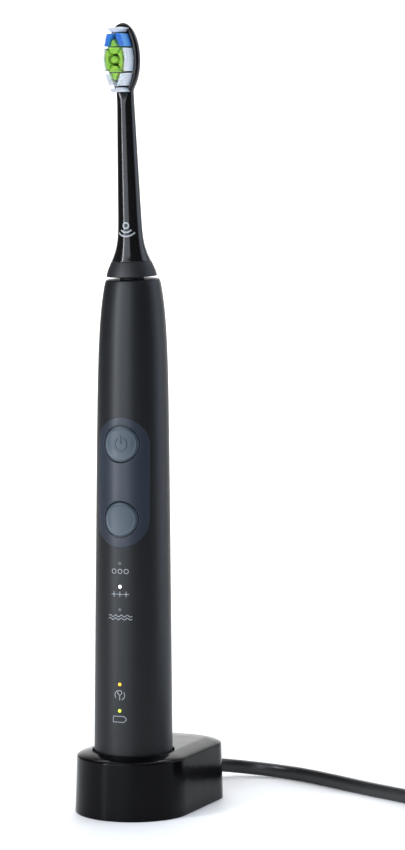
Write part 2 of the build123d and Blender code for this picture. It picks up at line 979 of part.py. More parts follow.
def plug_body():
    """Flat moulded two pin plug, with a short tapered sleeve over the lead."""
    sleeve = turned([
        Line((0, 0), (cord_diameter / 2 + relief_lip, 0)),
        Line((cord_diameter / 2 + relief_lip, 0), (plug_sleeve_radius, plug_sleeve)),
        Line((plug_sleeve_radius, plug_sleeve), (0, plug_sleeve)),
        Line((0, plug_sleeve), (0, 0)),
    ])
    shell = extrude(RectangleRounded(plug_width, plug_thickness, plug_round), plug_length)
    body = sleeve + Pos(0, 0, plug_sleeve) * shell
    return Pos(plug_x, plug_y, plug_z) * Rot(90, 0, 0) * body


def plug_pins():
    """Two round pins with rounded tips."""
    pin = Pos(0, 0, pin_length / 2) * Cylinder(pin_radius, pin_length)
    pin = fillet(pin.edges().group_by(Axis.Z)[-1], pin_radius * 0.6)
    face_y = plug_y - plug_sleeve - plug_length
    place = Pos(plug_x, face_y, plug_z) * Rot(90, 0, 0)
    return together(*[place * Pos(side * pin_spacing / 2, 0, 0) * pin for side in (-1, 1)])


def save(name, shape, place=None):
    """Write one node to parts/, placed in the frame of the whole object."""
    placed = place * shape if place else shape
    export_step(placed, f"parts/{name}.step")
    parts[name] = placed


save("handle_shell", handle_shell())
save("control_pad", control_pad())
save("power_button", button(power_z, power_radius))
save("mode_button", button(mode_z, mode_radius))
save("power_switch_plunger", switch_plunger(power_z))
save("mode_switch_plunger", switch_plunger(mode_z))
save("tact_switches", tact_switches())
for light_name, light_z in light_heights.items():
    save(light_name, light_pipe(light_z))
save("indicator_lamps", indicator_lamps())
save("circuit_board", circuit_board())
save("controller_chip", controller_chip())
save("charge_chip", charge_chip())
save("board_inductor", board_inductor())
save("battery_cell", cell())
save("cell_tabs", cell_tabs())
save("chassis", chassis())
save("end_cap", end_cap())
save("end_cap_seal", cap_ring_torus())
save("receiving_coil_former", receiving_former())
save("receiving_coil", receiving_coil())

save("drive_frame", drive_frame(), drive_place)
save("upper_bearing", bearing(-drive_frame_top), drive_place)
save("lower_bearing", bearing(-shaft_below + shaft_tail + bearing_length), drive_place)
save("drive_shaft", drive_shaft(), drive_place)
save("magnet_carrier", magnet_carrier(), drive_place)
save("drive_magnets", drive_magnets(), drive_place)
save("stator_core", stator_core(), drive_place)
save("stator_coil", stator_coil(), drive_place)
save("centring_spring", centring_spring(), drive_place)
save("shaft_seal", shaft_seal(), drive_place)

save("brush_neck", brush_neck(), drive_place)
save("head_collar", head_collar(), drive_place)
save("shaft_clip", shaft_clip(), drive_place)
save("id_tag", id_tag(), drive_place)
save("white_bristles", white_bristles(), drive_place)
save("blue_bristles", blue_bristles(), drive_place)
save("green_bristles", green_bristles(), drive_place)

save("charger_housing", charger_housing(), charger_place)
save("charger_base_plate", charger_base_plate(), charger_place)
save("ferrite_core", ferrite_core(), charger_place)
save("primary_coil_former", primary_former(), charger_place)
save("primary_coil", primary_coil(), charger_place)
save("charger_board", charger_board(), charger_place)
save("charger_capacitor", charger_capacitor(), charger_place)
save("charger_transformer", charger_transformer(), charger_place)
save("charger_chip", charger_chip(), charger_place)
save("strain_relief", strain_relief(), charger_place)
save("power_cord", power_cord())
save("cord_coil", cord_coil())
save("coil_tie", coil_tie())
save("cord_tail", cord_tail())
save("plug_body", plug_body())
save("plug_pins", plug_pins())
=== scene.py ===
import math

import bmesh
import bpy
import numpy as np
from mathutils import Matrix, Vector


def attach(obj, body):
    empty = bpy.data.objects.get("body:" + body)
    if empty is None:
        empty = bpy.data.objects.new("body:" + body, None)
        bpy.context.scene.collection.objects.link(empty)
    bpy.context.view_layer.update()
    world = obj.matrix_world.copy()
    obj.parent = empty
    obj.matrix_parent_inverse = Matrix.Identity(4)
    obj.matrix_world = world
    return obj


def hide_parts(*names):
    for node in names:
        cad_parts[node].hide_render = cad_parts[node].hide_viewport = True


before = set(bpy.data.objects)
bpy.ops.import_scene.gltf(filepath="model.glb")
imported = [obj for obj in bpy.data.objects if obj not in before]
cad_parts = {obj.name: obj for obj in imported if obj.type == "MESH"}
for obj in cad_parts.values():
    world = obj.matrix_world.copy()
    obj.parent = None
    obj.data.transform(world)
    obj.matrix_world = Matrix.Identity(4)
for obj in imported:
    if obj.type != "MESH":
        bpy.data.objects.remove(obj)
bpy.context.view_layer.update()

# Electric toothbrush on its charger. Sizes are millimetres, times MM for Blender's metres.
# +Z is up, the origin is under the handle's axis, and buttons and bristles face -Y.

MM = 0.001
TURN = 2 * math.pi

# ---------------------------------------------------------------- sizes, as in the part's source

FOOT_Z = 18.8
TOP_Z = 185.0
FOOT_RADIUS = 13.65
TAPER = 1.6
SHOULDER_DROP = 2.65
SHOULDER_REACH = 12.6
SHELL_WALL = 1.6

LEAN = math.radians(5.5)
SHAFT_FORWARD = 1.0
SHAFT_RADIUS = 2.0
SHAFT_ABOVE = 21.0
SHAFT_BELOW = 36.0
SEAL_RADIUS = 4.2
FIT = 0.05
AXIS_Z = TOP_Z - SHAFT_FORWARD * math.tan(LEAN)

PAD_Z = 115.3
PAD_HEIGHT = 44.7
PAD_WIDTH = 18.6
PAD_PROUD = 0.1
PAD_HALF = PAD_WIDTH / 2
PAD_STRAIGHT = PAD_HEIGHT / 2 - PAD_HALF
POWER_Z = 128.4
POWER_RADIUS = 6.2
MODE_Z = 102.6
MODE_RADIUS = 6.0
BUTTON_GAP = 0.25
BUTTON_PROUD = 0.4

LIGHT_RADIUS = 0.55
LIGHTS = {
    "mode_light_upper": 87.6,
    "mode_light_middle": 79.65,
    "mode_light_lower": 71.7,
    "brush_head_light": 46.1,
    "battery_light": 37.0,
}

HEAD_GAP = 1.0
COLLAR_HEIGHT = 5.2
NECK_ROOT = 4.65
NECK_SLOPE = 0.0275
FLARE = 4.2
FLARE_REACH = 8.3
PLATEN_MIDDLE = 75.2
PLATEN_HALF_HEIGHT = 12.0
PLATEN_HALF_WIDTH = 5.75
PLATEN_FRONT = 2.0
PLATEN_BACK = 2.5
BRISTLE_REACH = 7.8
GREEN_EXTRA = 0.4

CHARGER_TURN = math.radians(-5.2)
CHARGER_RADIUS = 20.3
CHARGER_BACK = 41.0
CHARGER_CORNER = 12.0
CHARGER_HEIGHT = 19.4
CHARGER_DRAFT = 0.6
CROWN_HEIGHT = 2.2
CROWN_WIDTH = 5.6
CHARGER_WALL = 2.0
SEAT_RADIUS = 14.3
SEAT_FLOOR_Z = 18.5
POST_RADIUS = 3.6
POST_HEIGHT = 11.0

CORD_WIDTH = 5.0
CORD_THICKNESS = 3.2
CORD_EXIT_Z = 7.0
RELIEF_OUTSIDE = 3.0
RELIEF_RADIUS = 4.4
RELIEF_LIP = 0.6
COIL_CENTRE = (126.5, 60.5)
COIL_OUTER = 34.0
COIL_INNER = 22.2
COIL_ENTRY = math.radians(248)
COIL_HEIGHT = 10.6
TAIL_LEAVES = 23.5
TAIL_TURN_RADIUS = 22.0
TAIL_RETURNS = 14.0
PLUG_WIDTH = 35.0
PLUG_THICKNESS = 14.0
PLUG_LENGTH = 30.0
PLUG_SLEEVE = 9.0
PLUG_SLEEVE_RADIUS = 5.0
PIN_RADIUS = 2.0
PIN_LENGTH = 19.0
PIN_SPACING = 19.0

# ---------------------------------------------------------------- camera

CAMERA_AZIMUTH = math.radians(18.8)
CAMERA_SIDE = 24.02
CAMERA_BACK = 795.67
CAMERA_HEIGHT = 167.95
CAMERA_DIP = math.radians(2.41)
CAMERA_LENS = 97.4
SENSOR = 36.0


def make_camera():
    """A long lens at the height of the handle's shoulder, to the left of the buttons, dipping a little."""
    data = bpy.data.cameras.new("camera")
    data.lens = CAMERA_LENS
    data.sensor_width = SENSOR
    data.clip_start = 0.05
    data.clip_end = 20.0
    camera = bpy.data.objects.new("camera", data)
    across = Vector((math.cos(CAMERA_AZIMUTH), math.sin(CAMERA_AZIMUTH), 0))
    ahead = Vector((-math.sin(CAMERA_AZIMUTH), math.cos(CAMERA_AZIMUTH), 0))
    camera.location = (across * CAMERA_SIDE - ahead * CAMERA_BACK + Vector((0, 0, CAMERA_HEIGHT))) * MM
    look = ahead * math.cos(CAMERA_DIP) - Vector((0, 0, math.sin(CAMERA_DIP)))
    camera.rotation_mode = "QUATERNION"
    camera.rotation_quaternion = look.to_track_quat("-Z", "Y")
    bpy.context.scene.collection.objects.link(camera)
    bpy.context.scene.camera = camera


make_camera()

# ---------------------------------------------------------------- surfaces from grids

MERGE_DISTANCE = 2e-6
SLIVER_LENGTH = 1e-7


def smooth_object(name, mesh):
    """A smooth shaded object of a mesh, at the origin."""
    mesh.polygons.foreach_set("use_smooth", np.ones(len(mesh.polygons), bool))
    piece = bpy.data.objects.new(name, mesh)
    bpy.context.scene.collection.objects.link(piece)
    return piece


def mesh_piece(name, points, faces):
    """An object with points in millimetres, its doubles merged and its faces outwards."""
    mesh = bpy.data.meshes.new(name)
    mesh.from_pydata((np.asarray(points, float) * MM).tolist(), [], np.asarray(faces).tolist())
    work = bmesh.new()
    work.from_mesh(mesh)
    bmesh.ops.remove_doubles(work, verts=work.verts, dist=MERGE_DISTANCE)
    bmesh.ops.dissolve_degenerate(work, edges=work.edges, dist=SLIVER_LENGTH)
    bmesh.ops.recalc_face_normals(work, faces=work.faces)
    work.to_mesh(mesh)
    work.free()
    return smooth_object(name, mesh)


def grid_faces(rows, columns, wrap_columns=True, start=0):
    """Quads between neighbours of a grid of rows by columns, its columns wrapped round where asked."""
    row = np.arange(rows - 1)[:, None]
    column = np.arange(columns if wrap_columns else columns - 1)[None, :]
    below, beside = row + 1, (column + 1) % columns
    here, under = row * columns, below * columns
    corners = (here + column, here + beside, under + beside, under + column)
    return start + np.stack(corners, -1).reshape(-1, 4)


def grid_piece(name, grid, wrap_columns=True):
    """One object from a grid of points of shape (rows, columns, 3)."""
    return grids_piece(name, [grid], wrap_columns)


def grids_piece(name, grids, wrap_columns=True):
    """One object from several grids; points that meet are merged."""
    points, faces, count = [], [], 0
    for grid in grids:
        rows, columns = grid.shape[:2]
        points.append(grid.reshape(-1, 3))
        faces.append(grid_faces(rows, columns, wrap_columns, count))
        count += rows * columns
    return mesh_piece(name, np.concatenate(points), np.concatenate(faces))


def angles(count):
    """Evenly spaced angles once round."""
    return np.arange(count) * TURN / count


def around_z(radius, around, z):
    """Points at angles from the front about Z: x = r sin a, y = -r cos a."""
    x = radius * np.sin(around)
    return np.stack([x, -radius * np.cos(around), np.broadcast_to(z, x.shape)], -1)


def turned_grid(profile, count):
    """A profile of (radius, height) points carried round Z."""
    profile = np.asarray(profile, float)
    return around_z(profile[:, :1], angles(count), profile[:, 1:])


def squared(values, power):
    """Cosines and sines raised to a power below one, which squares off the ring that they draw."""
    return np.sign(values) * np.abs(values) ** power


def corner(centre, radius, start, end, count=6):
    """Points of an arc about (r, z) centre between two angles in degrees, for a rounded profile edge."""
    sweep = np.radians(np.linspace(start, end, count))
    return [(centre[0] + radius * math.cos(a), centre[1] + radius * math.sin(a)) for a in sweep]


def on_drive_axis(points):
    """Points of the leaning drive axis' own frame, carried into the frame of the shelf."""
    x, y, s = points[..., 0], points[..., 1], points[..., 2]
    return np.stack([
        x,
        y * math.cos(LEAN) - s * math.sin(LEAN) - SHAFT_FORWARD,
        y * math.sin(LEAN) + s * math.cos(LEAN) + AXIS_Z,
    ], -1)


def on_charger(points):
    """Points of the charger's own frame, turned a little on the shelf."""
    x, y = points[..., 0], points[..., 1]
    c, s = math.cos(CHARGER_TURN), math.sin(CHARGER_TURN)
    return np.stack([x * c - y * s, x * s + y * c, points[..., 2]], -1)


# ---------------------------------------------------------------- materials


def linear(code):
    """An sRGB hex colour as the linear values that Blender's sockets take."""
    values = [int(code[i:i + 2], 16) / 255 for i in (1, 3, 5)]
    return tuple(v / 12.92 if v <= 0.04045 else ((v + 0.055) / 1.055) ** 2.4 for v in values) + (1.0,)


def add(tree, kind, settings=None, **links):
    """One node: its settings by name, its input values or the sockets that feed it."""
    node = tree.nodes.new(kind)
    for name, value in (settings or {}).items():
        setattr(node, name, value)
    for name, value in links.items():
        key = int(name[1:]) if name[0] == "_" and name[1:].isdigit() else name.replace("_", " ")
        if isinstance(value, bpy.types.NodeSocket):
            tree.links.new(value, node.inputs[key])
        else:
            node.inputs[key].default_value = value
    return node


def new_material(name):
    """An empty node material with its shader and its object coordinates."""
    material = bpy.data.materials.new(name)
    material.use_nodes = True
    tree = material.node_tree
    shader = tree.nodes["Principled BSDF"]
    place = add(tree, "ShaderNodeTexCoord").outputs["Object"]
    return material, tree, shader, place


def set_shader(shader, **values):
    """Constants straight on the shader's own sockets."""
    for name, value in values.items():
        shader.inputs[name.replace("_", " ")].default_value = value


CLOUD_SIZE = 9.0
GRAIN_DEPTH = 0.4


def moulded(name, colour, grain_mm, bump, roughness, spread=0.06, shade=0.12, **extra):
    """Moulded polymer: fine cloudy tone, a grain of the given size in the gloss and the bump."""
    material, tree, shader, place = new_material(name)
    set_shader(shader, **{"IOR": 1.5, **extra})
    grain = add(tree, "ShaderNodeTexNoise", Vector=place, Scale=1 / (grain_mm * MM), Detail=3.0, Roughness=0.6)
    cloud = add(tree, "ShaderNodeTexNoise", Vector=place, Scale=1 / (CLOUD_SIZE * MM), Detail=2.0)
    base = linear(colour)
    light = tuple(min(1.0, v * (1 + shade)) for v in base[:3]) + (1.0,)
    dark = tuple(v * (1 - shade) for v in base[:3]) + (1.0,)
    tint = add(tree, "ShaderNodeMix", {"data_type": "RGBA"}, Factor=cloud.outputs["Fac"], _6=dark, _7=light)
    tree.links.new(tint.outputs[2], shader.inputs["Base Color"])
    rough = add(tree, "ShaderNodeMapRange", Value=grain.outputs["Fac"], From_Min=0.3, From_Max=0.7,
                To_Min=max(0.02, roughness - spread), To_Max=roughness + spread)
    tree.links.new(rough.outputs["Result"], shader.inputs["Roughness"])
    if bump:
        height = add(tree, "ShaderNodeBump", Strength=bump, Distance=grain_mm * MM * GRAIN_DEPTH,
                     Height=grain.outputs["Fac"])
        tree.links.new(height.outputs["Normal"], shader.inputs["Normal"])
    return material


def soft_touch_casing():
    """ABS casing with a soft touch coat, spark eroded tool: near black, a wide dull sheen, fine dry grain."""
    return moulded("soft_touch_abs", "#0d0f11", 0.12, 0.10, 0.40, spread=0.05, shade=0.08,
                   Specular_IOR_Level=0.24)


def pad_silicone():
    """Overmoulded silicone inlay: slate blue black, smoother than the casing round it."""
    return moulded("overmoulded_silicone", "#1a212b", 0.20, 0.06, 0.40, spread=0.04,
                   Specular_IOR_Level=0.3)


def button_silicone():
    """Button caps of the same silicone with more white in it: slate grey, satin."""
    return moulded("button_silicone", "#2a363f", 0.20, 0.06, 0.40, spread=0.04,
                   Specular_IOR_Level=0.35)


def gloss_abs():
    """Polished tool ABS: piano black, mirror like, with the faint long ripple of moulding."""
    return moulded("piano_black_abs", "#060607", 14.0, 0.02, 0.15, spread=0.02, shade=0.05,
                   Specular_IOR_Level=0.08)


def neck_pp():
    """Polypropylene of the brush head: black, glossy but softer than the charger."""
    return moulded("glossy_polypropylene", "#070708", 6.0, 0.02, 0.15, spread=0.03, shade=0.06,
                   Specular_IOR_Level=0.3)


def collar_tpe():
    """Thermoplastic elastomer ring: dark grey, dull, with a dry grain."""
    return moulded("elastomer_collar", "#141517", 0.15, 0.12, 0.5, spread=0.05, Specular_IOR_Level=0.3)


def seal_rubber():
    """Moulded rubber: flat black, slightly dusty."""
    return moulded("moulded_rubber", "#0b0b0b", 0.2, 0.1, 0.62)


def cord_pvc():
    """Extruded PVC sheath: black, satin, with faint lines and a waxy variation."""
    return moulded("extruded_pvc", "#131314", 0.6, 0.08, 0.34, spread=0.08, shade=0.15,
                   Specular_IOR_Level=0.55)


def plug_pvc():
    """Injection moulded PVC over the plug: black with a fine matte texture."""
    return moulded("moulded_pvc_plug", "#141415", 0.25, 0.18, 0.46)


def woven_tie():
    """Woven hook and loop strap: black, fibrous and light soaking."""
    return moulded("woven_strap", "#17171a", 0.35, 0.6, 0.85, Sheen_Weight=0.4)


def plain_plastic(name, colour, roughness=0.45):
    """Unpainted moulded plastic of a hidden part."""
    return moulded(name, colour, 0.4, 0.08, roughness)


def metal(name, colour, roughness):
    """Drawn or ground metal: fine lines along the piece that stretch its highlights."""
    line_length, stretch = 4.5, 12.0
    material, tree, shader, place = new_material(name)
    set_shader(shader, Metallic=1.0, Base_Color=linear(colour))
    lines = add(tree, "ShaderNodeMapping", Vector=place, Scale=(stretch, stretch, 1.0))
    grain = add(tree, "ShaderNodeTexNoise", Vector=lines.outputs["Vector"], Scale=1 / (line_length * MM),
                Detail=4.0)
    rough = add(tree, "ShaderNodeMapRange", Value=grain.outputs["Fac"], To_Min=roughness * 0.7,
                To_Max=roughness * 1.3)
    tree.links.new(rough.outputs["Result"], shader.inputs["Roughness"])
    height = add(tree, "ShaderNodeBump", Strength=0.1, Distance=0.02 * MM, Height=grain.outputs["Fac"])
    tree.links.new(height.outputs["Normal"], shader.inputs["Normal"])
    return material


def copper_winding():
    """Enamelled copper wire wound side by side: orange brown, with a soft ridge about every two millimetres.
    A wave texture of scale one turns through twenty radians in a unit."""
    ridge = 0.3 * TURN
    radians_per_unit = 20
    material, tree, shader, place = new_material("enamelled_copper")
    set_shader(shader, Metallic=1.0, Base_Color=linear("#b4693a"), Roughness=0.3, Coat_Weight=0.5)
    turns = add(tree, "ShaderNodeTexWave", {"bands_direction": "Z"}, Vector=place,
                Scale=TURN / (ridge * MM) / radians_per_unit)
    height = add(tree, "ShaderNodeBump", Strength=0.5, Distance=0.1 * MM, Height=turns.outputs["Fac"])
    tree.links.new(height.outputs["Normal"], shader.inputs["Normal"])
    return material


def nylon(name, root, tip, low, high):
    """Dyed nylon filament with light passing through: its own colour at the cut tip, darkened towards its foot
    as painted shade deep in the tuft.
    low and high are the places of foot and tip along the axis that points out of the plate."""
    # Share of the filament's length over which the painted shade at its foot gives way to the tip's colour.
    painted_shade_reach = 0.6
    material, tree, shader, place = new_material(name)
    set_shader(shader, Roughness=0.42, IOR=1.53, Subsurface_Weight=0.18, Subsurface_Scale=0.0012)
    back = (SHAFT_FORWARD * math.cos(LEAN) - AXIS_Z * math.sin(LEAN)) * MM
    lay = add(tree, "ShaderNodeMapping", {"vector_type": "POINT"}, Vector=place,
              Rotation=(-LEAN, 0.0, 0.0), Location=(0.0, back, 0.0))
    depth = add(tree, "ShaderNodeSeparateXYZ", Vector=lay.outputs["Vector"])
    along = add(tree, "ShaderNodeMapRange", Value=depth.outputs["Y"], From_Min=low,
                From_Max=low + painted_shade_reach * (high - low))
    noise = add(tree, "ShaderNodeTexNoise", Vector=place, Scale=1 / (0.5 * MM), Detail=2.0)
    # Painted shade: the foot colour, darker than the tip colour, stands for the shade among the filaments.
    tint = add(tree, "ShaderNodeMix", {"data_type": "RGBA"}, Factor=along.outputs["Result"],
               _6=linear(root), _7=linear(tip))
    vary = add(tree, "ShaderNodeMapRange", Value=noise.outputs["Fac"], To_Min=0.86, To_Max=1.14)
    final = add(tree, "ShaderNodeVectorMath", {"operation": "SCALE"}, _0=tint.outputs[2],
                Scale=vary.outputs["Result"])
    tree.links.new(final.outputs["Vector"], shader.inputs["Base Color"])
    return material


def lens(name, colour, glow):
    """Light pipe of clear acrylic, frosted at its face, with the lamp's colour behind it."""
    material, tree, shader, place = new_material(name)
    set_shader(shader, Base_Color=linear(colour), Roughness=0.25, IOR=1.49,
               Emission_Color=linear(colour), Emission_Strength=glow)
    noise = add(tree, "ShaderNodeTexNoise", Vector=place, Scale=1 / (0.2 * MM), Detail=2.0)
    rough = add(tree, "ShaderNodeMapRange", Value=noise.outputs["Fac"], To_Min=0.15, To_Max=0.4)
    tree.links.new(rough.outputs["Result"], shader.inputs["Roughness"])
    return material


def print_ink():
    """Pad printed ink: light grey, thin, a little uneven in its edges and cover."""
    return moulded("pad_printed_ink", "#84888c", 0.25, 0.05, 0.5, shade=0.15)


def floor_paper():
    """Seamless studio paper: near white, quite even, with a soft sheen that takes a faint reflection.
    It is clear from behind, so that it never stands between the object and the eye."""
    paper = moulded("studio_paper", "#f6f6f6", 3.0, 0.01, 0.5, spread=0.03, shade=0.004)
    tree = paper.node_tree
    behind = add(tree, "ShaderNodeNewGeometry").outputs["Backfacing"]
    front = add(tree, "ShaderNodeMath", {"operation": "SUBTRACT"}, _0=1.0, _1=behind)
    tree.links.new(front.outputs["Value"], tree.nodes["Principled BSDF"].inputs["Alpha"])
    return paper


def dress(piece, material, body=None, node=None):
    """Give a piece its material, the body it rides on and the CAD node it stands for."""
    piece.data.materials.clear()
    piece.data.materials.append(material)
    if body:
        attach(piece, body)
    if node:
        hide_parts(node)
    return piece


MATERIALS = {
    "casing": soft_touch_casing(),
    "pad": pad_silicone(),
    "button": button_silicone(),
    "gloss": gloss_abs(),
    "neck": neck_pp(),
    "collar": collar_tpe(),
    "rubber": seal_rubber(),
    "cord": cord_pvc(),
    "plug": plug_pvc(),
    "strap": woven_tie(),
    "shaft": metal("ground_stainless_steel", "#c4c5c7", 0.22),
    "pins": metal("nickel_plated_brass", "#cfccc4", 0.2),
    "ink": print_ink(),
}

# ---------------------------------------------------------------- mains lead


def charger_point(x, y, z):
    """A point of the charger's own frame, in the frame of the shelf."""
    return tuple(on_charger(np.array([x, y, z], float)))


RELIEF_END = CHARGER_BACK + RELIEF_OUTSIDE
CORD_FLOOR = CORD_WIDTH / 2
LEAD_ROUTE = [
    charger_point(0, RELIEF_END, CORD_EXIT_Z),
    charger_point(0, RELIEF_END + 9.0, CORD_EXIT_Z),
    (7.7, 61.3, 5.6),
    (13.7, 68.0, 4.2),
    (21.8, 71.8, 3.1),
    (30.8, 72.2, CORD_FLOOR),
    (40.9, 68.8, CORD_FLOOR),
    (53.2, 61.9, CORD_FLOOR),
    (68.8, 51.9, CORD_FLOOR),
    (88.6, 41.2, CORD_FLOOR),
]
COIL_TURNS = 7 + 1 - COIL_ENTRY / TURN
COIL_LAYER = 5.1
POINTS_PER_TURN = 18
CORD_SQUARENESS = 0.8
TAIL_X = COIL_CENTRE[0] + COIL_OUTER
TAIL_TURN_Y = COIL_CENTRE[1] + TAIL_LEAVES
PLUG_X = TAIL_X - 2 * TAIL_TURN_RADIUS
PLUG_Y = TAIL_TURN_Y - TAIL_RETURNS
PLUG_Z = COIL_HEIGHT + PLUG_THICKNESS / 2


def coil_route():
    """The coil's turns: in from the outside on the floor, then out again one cord's width higher."""
    steps = round(COIL_TURNS * POINTS_PER_TURN)
    points = []
    for i in range(steps + 1):
        share = i / steps
        angle = COIL_ENTRY + share * COIL_TURNS * TURN
        inwards = 1 - abs(1 - 2 * share)
        radius = COIL_OUTER + (COIL_INNER - COIL_OUTER) * inwards
        climb = min(1.0, max(0.0, (share - 0.5) * COIL_TURNS * 3 + 0.5))
        height = CORD_FLOOR + COIL_LAYER * climb * climb * (3 - 2 * climb)
        points.append((
            COIL_CENTRE[0] + radius * math.cos(angle),
            COIL_CENTRE[1] + radius * math.sin(angle),
            height,
        ))
    return points


def tail_route():
    """Off the coil, back over it in a rising half turn, and straight into the plug that lies on it."""
    points = []
    for share in (0, 1 / 3, 2 / 3, 1):
        angle = math.pi / 8 + share * math.pi * 3 / 4
        reach = TAIL_TURN_RADIUS / math.cos(math.pi / 8)
        rise = share * share * (3 - 2 * share)
        points.append((
            TAIL_X - TAIL_TURN_RADIUS + reach * math.cos(angle),
            TAIL_TURN_Y + reach * math.sin(angle),
            CORD_EXIT_Z + rise * (PLUG_Z - CORD_EXIT_Z),
        ))
    return points + [(PLUG_X, PLUG_Y, PLUG_Z)]


def smooth_line(points):
    """The points in metres of a quadratic spline whose control points are the given ones."""
    curve = bpy.data.curves.new("lead_line", "CURVE")
    curve.dimensions = "3D"
    curve.resolution_u = 8
    spline = curve.splines.new("NURBS")
    spline.points.add(len(points) - 1)
    flat = np.concatenate([np.array(points) * MM, np.ones((len(points), 1))], 1)
    spline.points.foreach_set("co", flat.ravel())
    spline.order_u = 3
    spline.use_endpoint_u = True
    holder = bpy.data.objects.new("lead_line", curve)
    bpy.context.scene.collection.objects.link(holder)
    mesh = bpy.data.meshes.new_from_object(holder)
    line = np.zeros(len(mesh.vertices) * 3)
    mesh.vertices.foreach_get("co", line)
    bpy.data.objects.remove(holder)
    bpy.data.curves.remove(curve)
    bpy.data.meshes.remove(mesh)
    return line.reshape(-1, 3)


def flat_cord(name, line, width, thickness, sides=20):
    """An oval section carried along a line in metres, its wide side upright and its ends closed:
    centre + across * t/2 * cos a + up * w/2 * sin a, with the corners squared a little."""
    along = np.gradient(line, axis=0)
    along /= np.linalg.norm(along, axis=1)[:, None]
    across = np.cross(along, (0.0, 0.0, 1.0))
    across /= np.linalg.norm(across, axis=1)[:, None]
    up = np.cross(across, along)
    turn = angles(sides)
    thin = thickness / 2 * squared(np.cos(turn), CORD_SQUARENESS)
    wide = width / 2 * squared(np.sin(turn), CORD_SQUARENESS)
    ring = across[:, None] * thin[None, :, None] + up[:, None] * wide[None, :, None]
    body = line[:, None] / MM + ring
    ends = [np.repeat(line[:1, None] / MM, sides, 1), np.repeat(line[-1:, None] / MM, sides, 1)]
    return grid_piece(name, np.concatenate([ends[0], body, ends[1]]))


def make_lead():
    """The whole lead: the stretch from the charger, the tied coil and the tail to the plug."""
    line = smooth_line(LEAD_ROUTE + coil_route() + tail_route())
    lead = flat_cord("mains_lead", line, CORD_WIDTH, CORD_THICKNESS)
    dress(lead, MATERIALS["cord"], "charger", "power_cord")
    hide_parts("cord_coil", "cord_tail")
    length = float(np.linalg.norm(np.diff(line, axis=0), axis=1).sum())
    return lead, line, length


lead, lead_line, lead_length = make_lead()

TIE_START = math.radians(130)
TIE_SWEEP = math.radians(16)
TIE_MIDDLE_RADIUS = 28.5
TIE_HALF_WIDTH = 8.0
TIE_HALF_HEIGHT = 5.3
TIE_SQUARENESS = 0.45
TIE_SWELL = ((0, 0.90), (0.03, 0.985), (0.1, 1.0), (0.5, 1.0), (0.9, 1.0), (0.97, 0.985), (1, 0.90))


def coil_tie():
    """Strap round the bundle: a rounded rectangle section swept along the coil, smaller at both edges."""
    around = angles(64)
    out = squared(np.cos(around), TIE_SQUARENESS) * TIE_HALF_WIDTH
    up = squared(np.sin(around), TIE_SQUARENESS) * TIE_HALF_HEIGHT
    rows = []
    for share, swell in TIE_SWELL:
        angle = TIE_START + TIE_SWEEP * share
        radius = TIE_MIDDLE_RADIUS + out * swell
        rows.append(np.stack([
            COIL_CENTRE[0] + radius * math.cos(angle),
            COIL_CENTRE[1] + radius * math.sin(angle),
            TIE_HALF_HEIGHT + up * swell,
        ], -1))
    tie = grid_piece("lead_tie", np.array(rows))
    return dress(tie, MATERIALS["strap"], "charger", "coil_tie")

SLEEVE_TIP_RADIUS = 3.1
RIB_COUNT = 4
RIB_PITCH = 2.0
RIB_PROFILE = ((0.0, 0.0), (1.1, 0.15), (1.25, -0.35), (1.85, -0.3))
PLUG_SHOULDER = 6.0
PLUG_SQUARENESS = 0.5
PLUG_FACE_EDGE = ((8.0, 0.0), (1.2, 0.0), (0.4, 0.35), (0.0, 1.1))


def plug_body():
    """Flat plug: a rounded rectangle whose halves shrink towards the lead, and a ribbed sleeve.
    Each row is a place along the plug, half its width, half its height, and whether it is round."""
    around = angles(72)
    round_ring = np.stack([np.cos(around), np.sin(around)], -1)
    flat_ring = squared(round_ring, PLUG_SQUARENESS)
    tip, sleeve = SLEEVE_TIP_RADIUS, PLUG_SLEEVE_RADIUS
    rows = [(0.0, 0, 0, True), (0.0, tip - 0.5, tip - 0.5, True), (0.0, tip, tip, True)]
    for i in range(RIB_COUNT):
        base = 1.0 + i * RIB_PITCH
        size = tip + (sleeve - tip) * base / PLUG_SLEEVE
        rows += [(base + step, size + rise, size + rise, True) for step, rise in RIB_PROFILE]
    rows.append((PLUG_SLEEVE, sleeve, sleeve, True))
    wide, high = PLUG_WIDTH / 2, PLUG_THICKNESS / 2
    for angle in np.array([0.0, 0.15, 0.35, 0.6, 0.85, 1.0]) * math.pi / 2:
        grown = math.sin(angle)
        rows.append((PLUG_SLEEVE + PLUG_SHOULDER * (1 - math.cos(angle)),
                     sleeve + 1 + (wide - sleeve - 1) * grown, sleeve + (high - sleeve) * grown, False))
    end = PLUG_SLEEVE + PLUG_LENGTH
    rows += [(end - before, wide - inset, high - inset, False) for before, inset in PLUG_FACE_EDGE]
    rows.append((end, 0, 0, False))
    grid = []
    for along, half_width, half_height, is_round in rows:
        ring = round_ring if is_round else flat_ring
        grid.append(np.stack([
            PLUG_X + ring[:, 0] * half_width,
            np.full(len(ring), PLUG_Y - along),
            PLUG_Z + ring[:, 1] * half_height,
        ], -1))
    plug = grid_piece("plug_shell", np.array(grid))
    return dress(plug, MATERIALS["plug"], "charger", "plug_body")


def plug_pins():
    """Two round pins: a root set off by a shallow groove, a bright length and a domed tip."""
    face_y = PLUG_Y - PLUG_SLEEVE - PLUG_LENGTH
    dome, groove = 1.4, PIN_RADIUS - 0.08
    profile = [(0, 0), (PIN_RADIUS, 0), (PIN_RADIUS, 9.6), (groove, 9.75), (groove, 10.2), (PIN_RADIUS, 10.35)]
    profile += corner((PIN_RADIUS - dome, PIN_LENGTH - dome), dome, 0, 90) + [(0, PIN_LENGTH)]
    grids = []
    for side in (-1, 1):
        pin = turned_grid(profile, 40)
        grids.append(np.stack([
            PLUG_X + side * PIN_SPACING / 2 + pin[..., 0], face_y - pin[..., 2], PLUG_Z + pin[..., 1],
        ], -1))
    pins = grids_piece("plug_contacts", grids)
    return dress(pins, MATERIALS["pins"], "charger", "plug_pins")


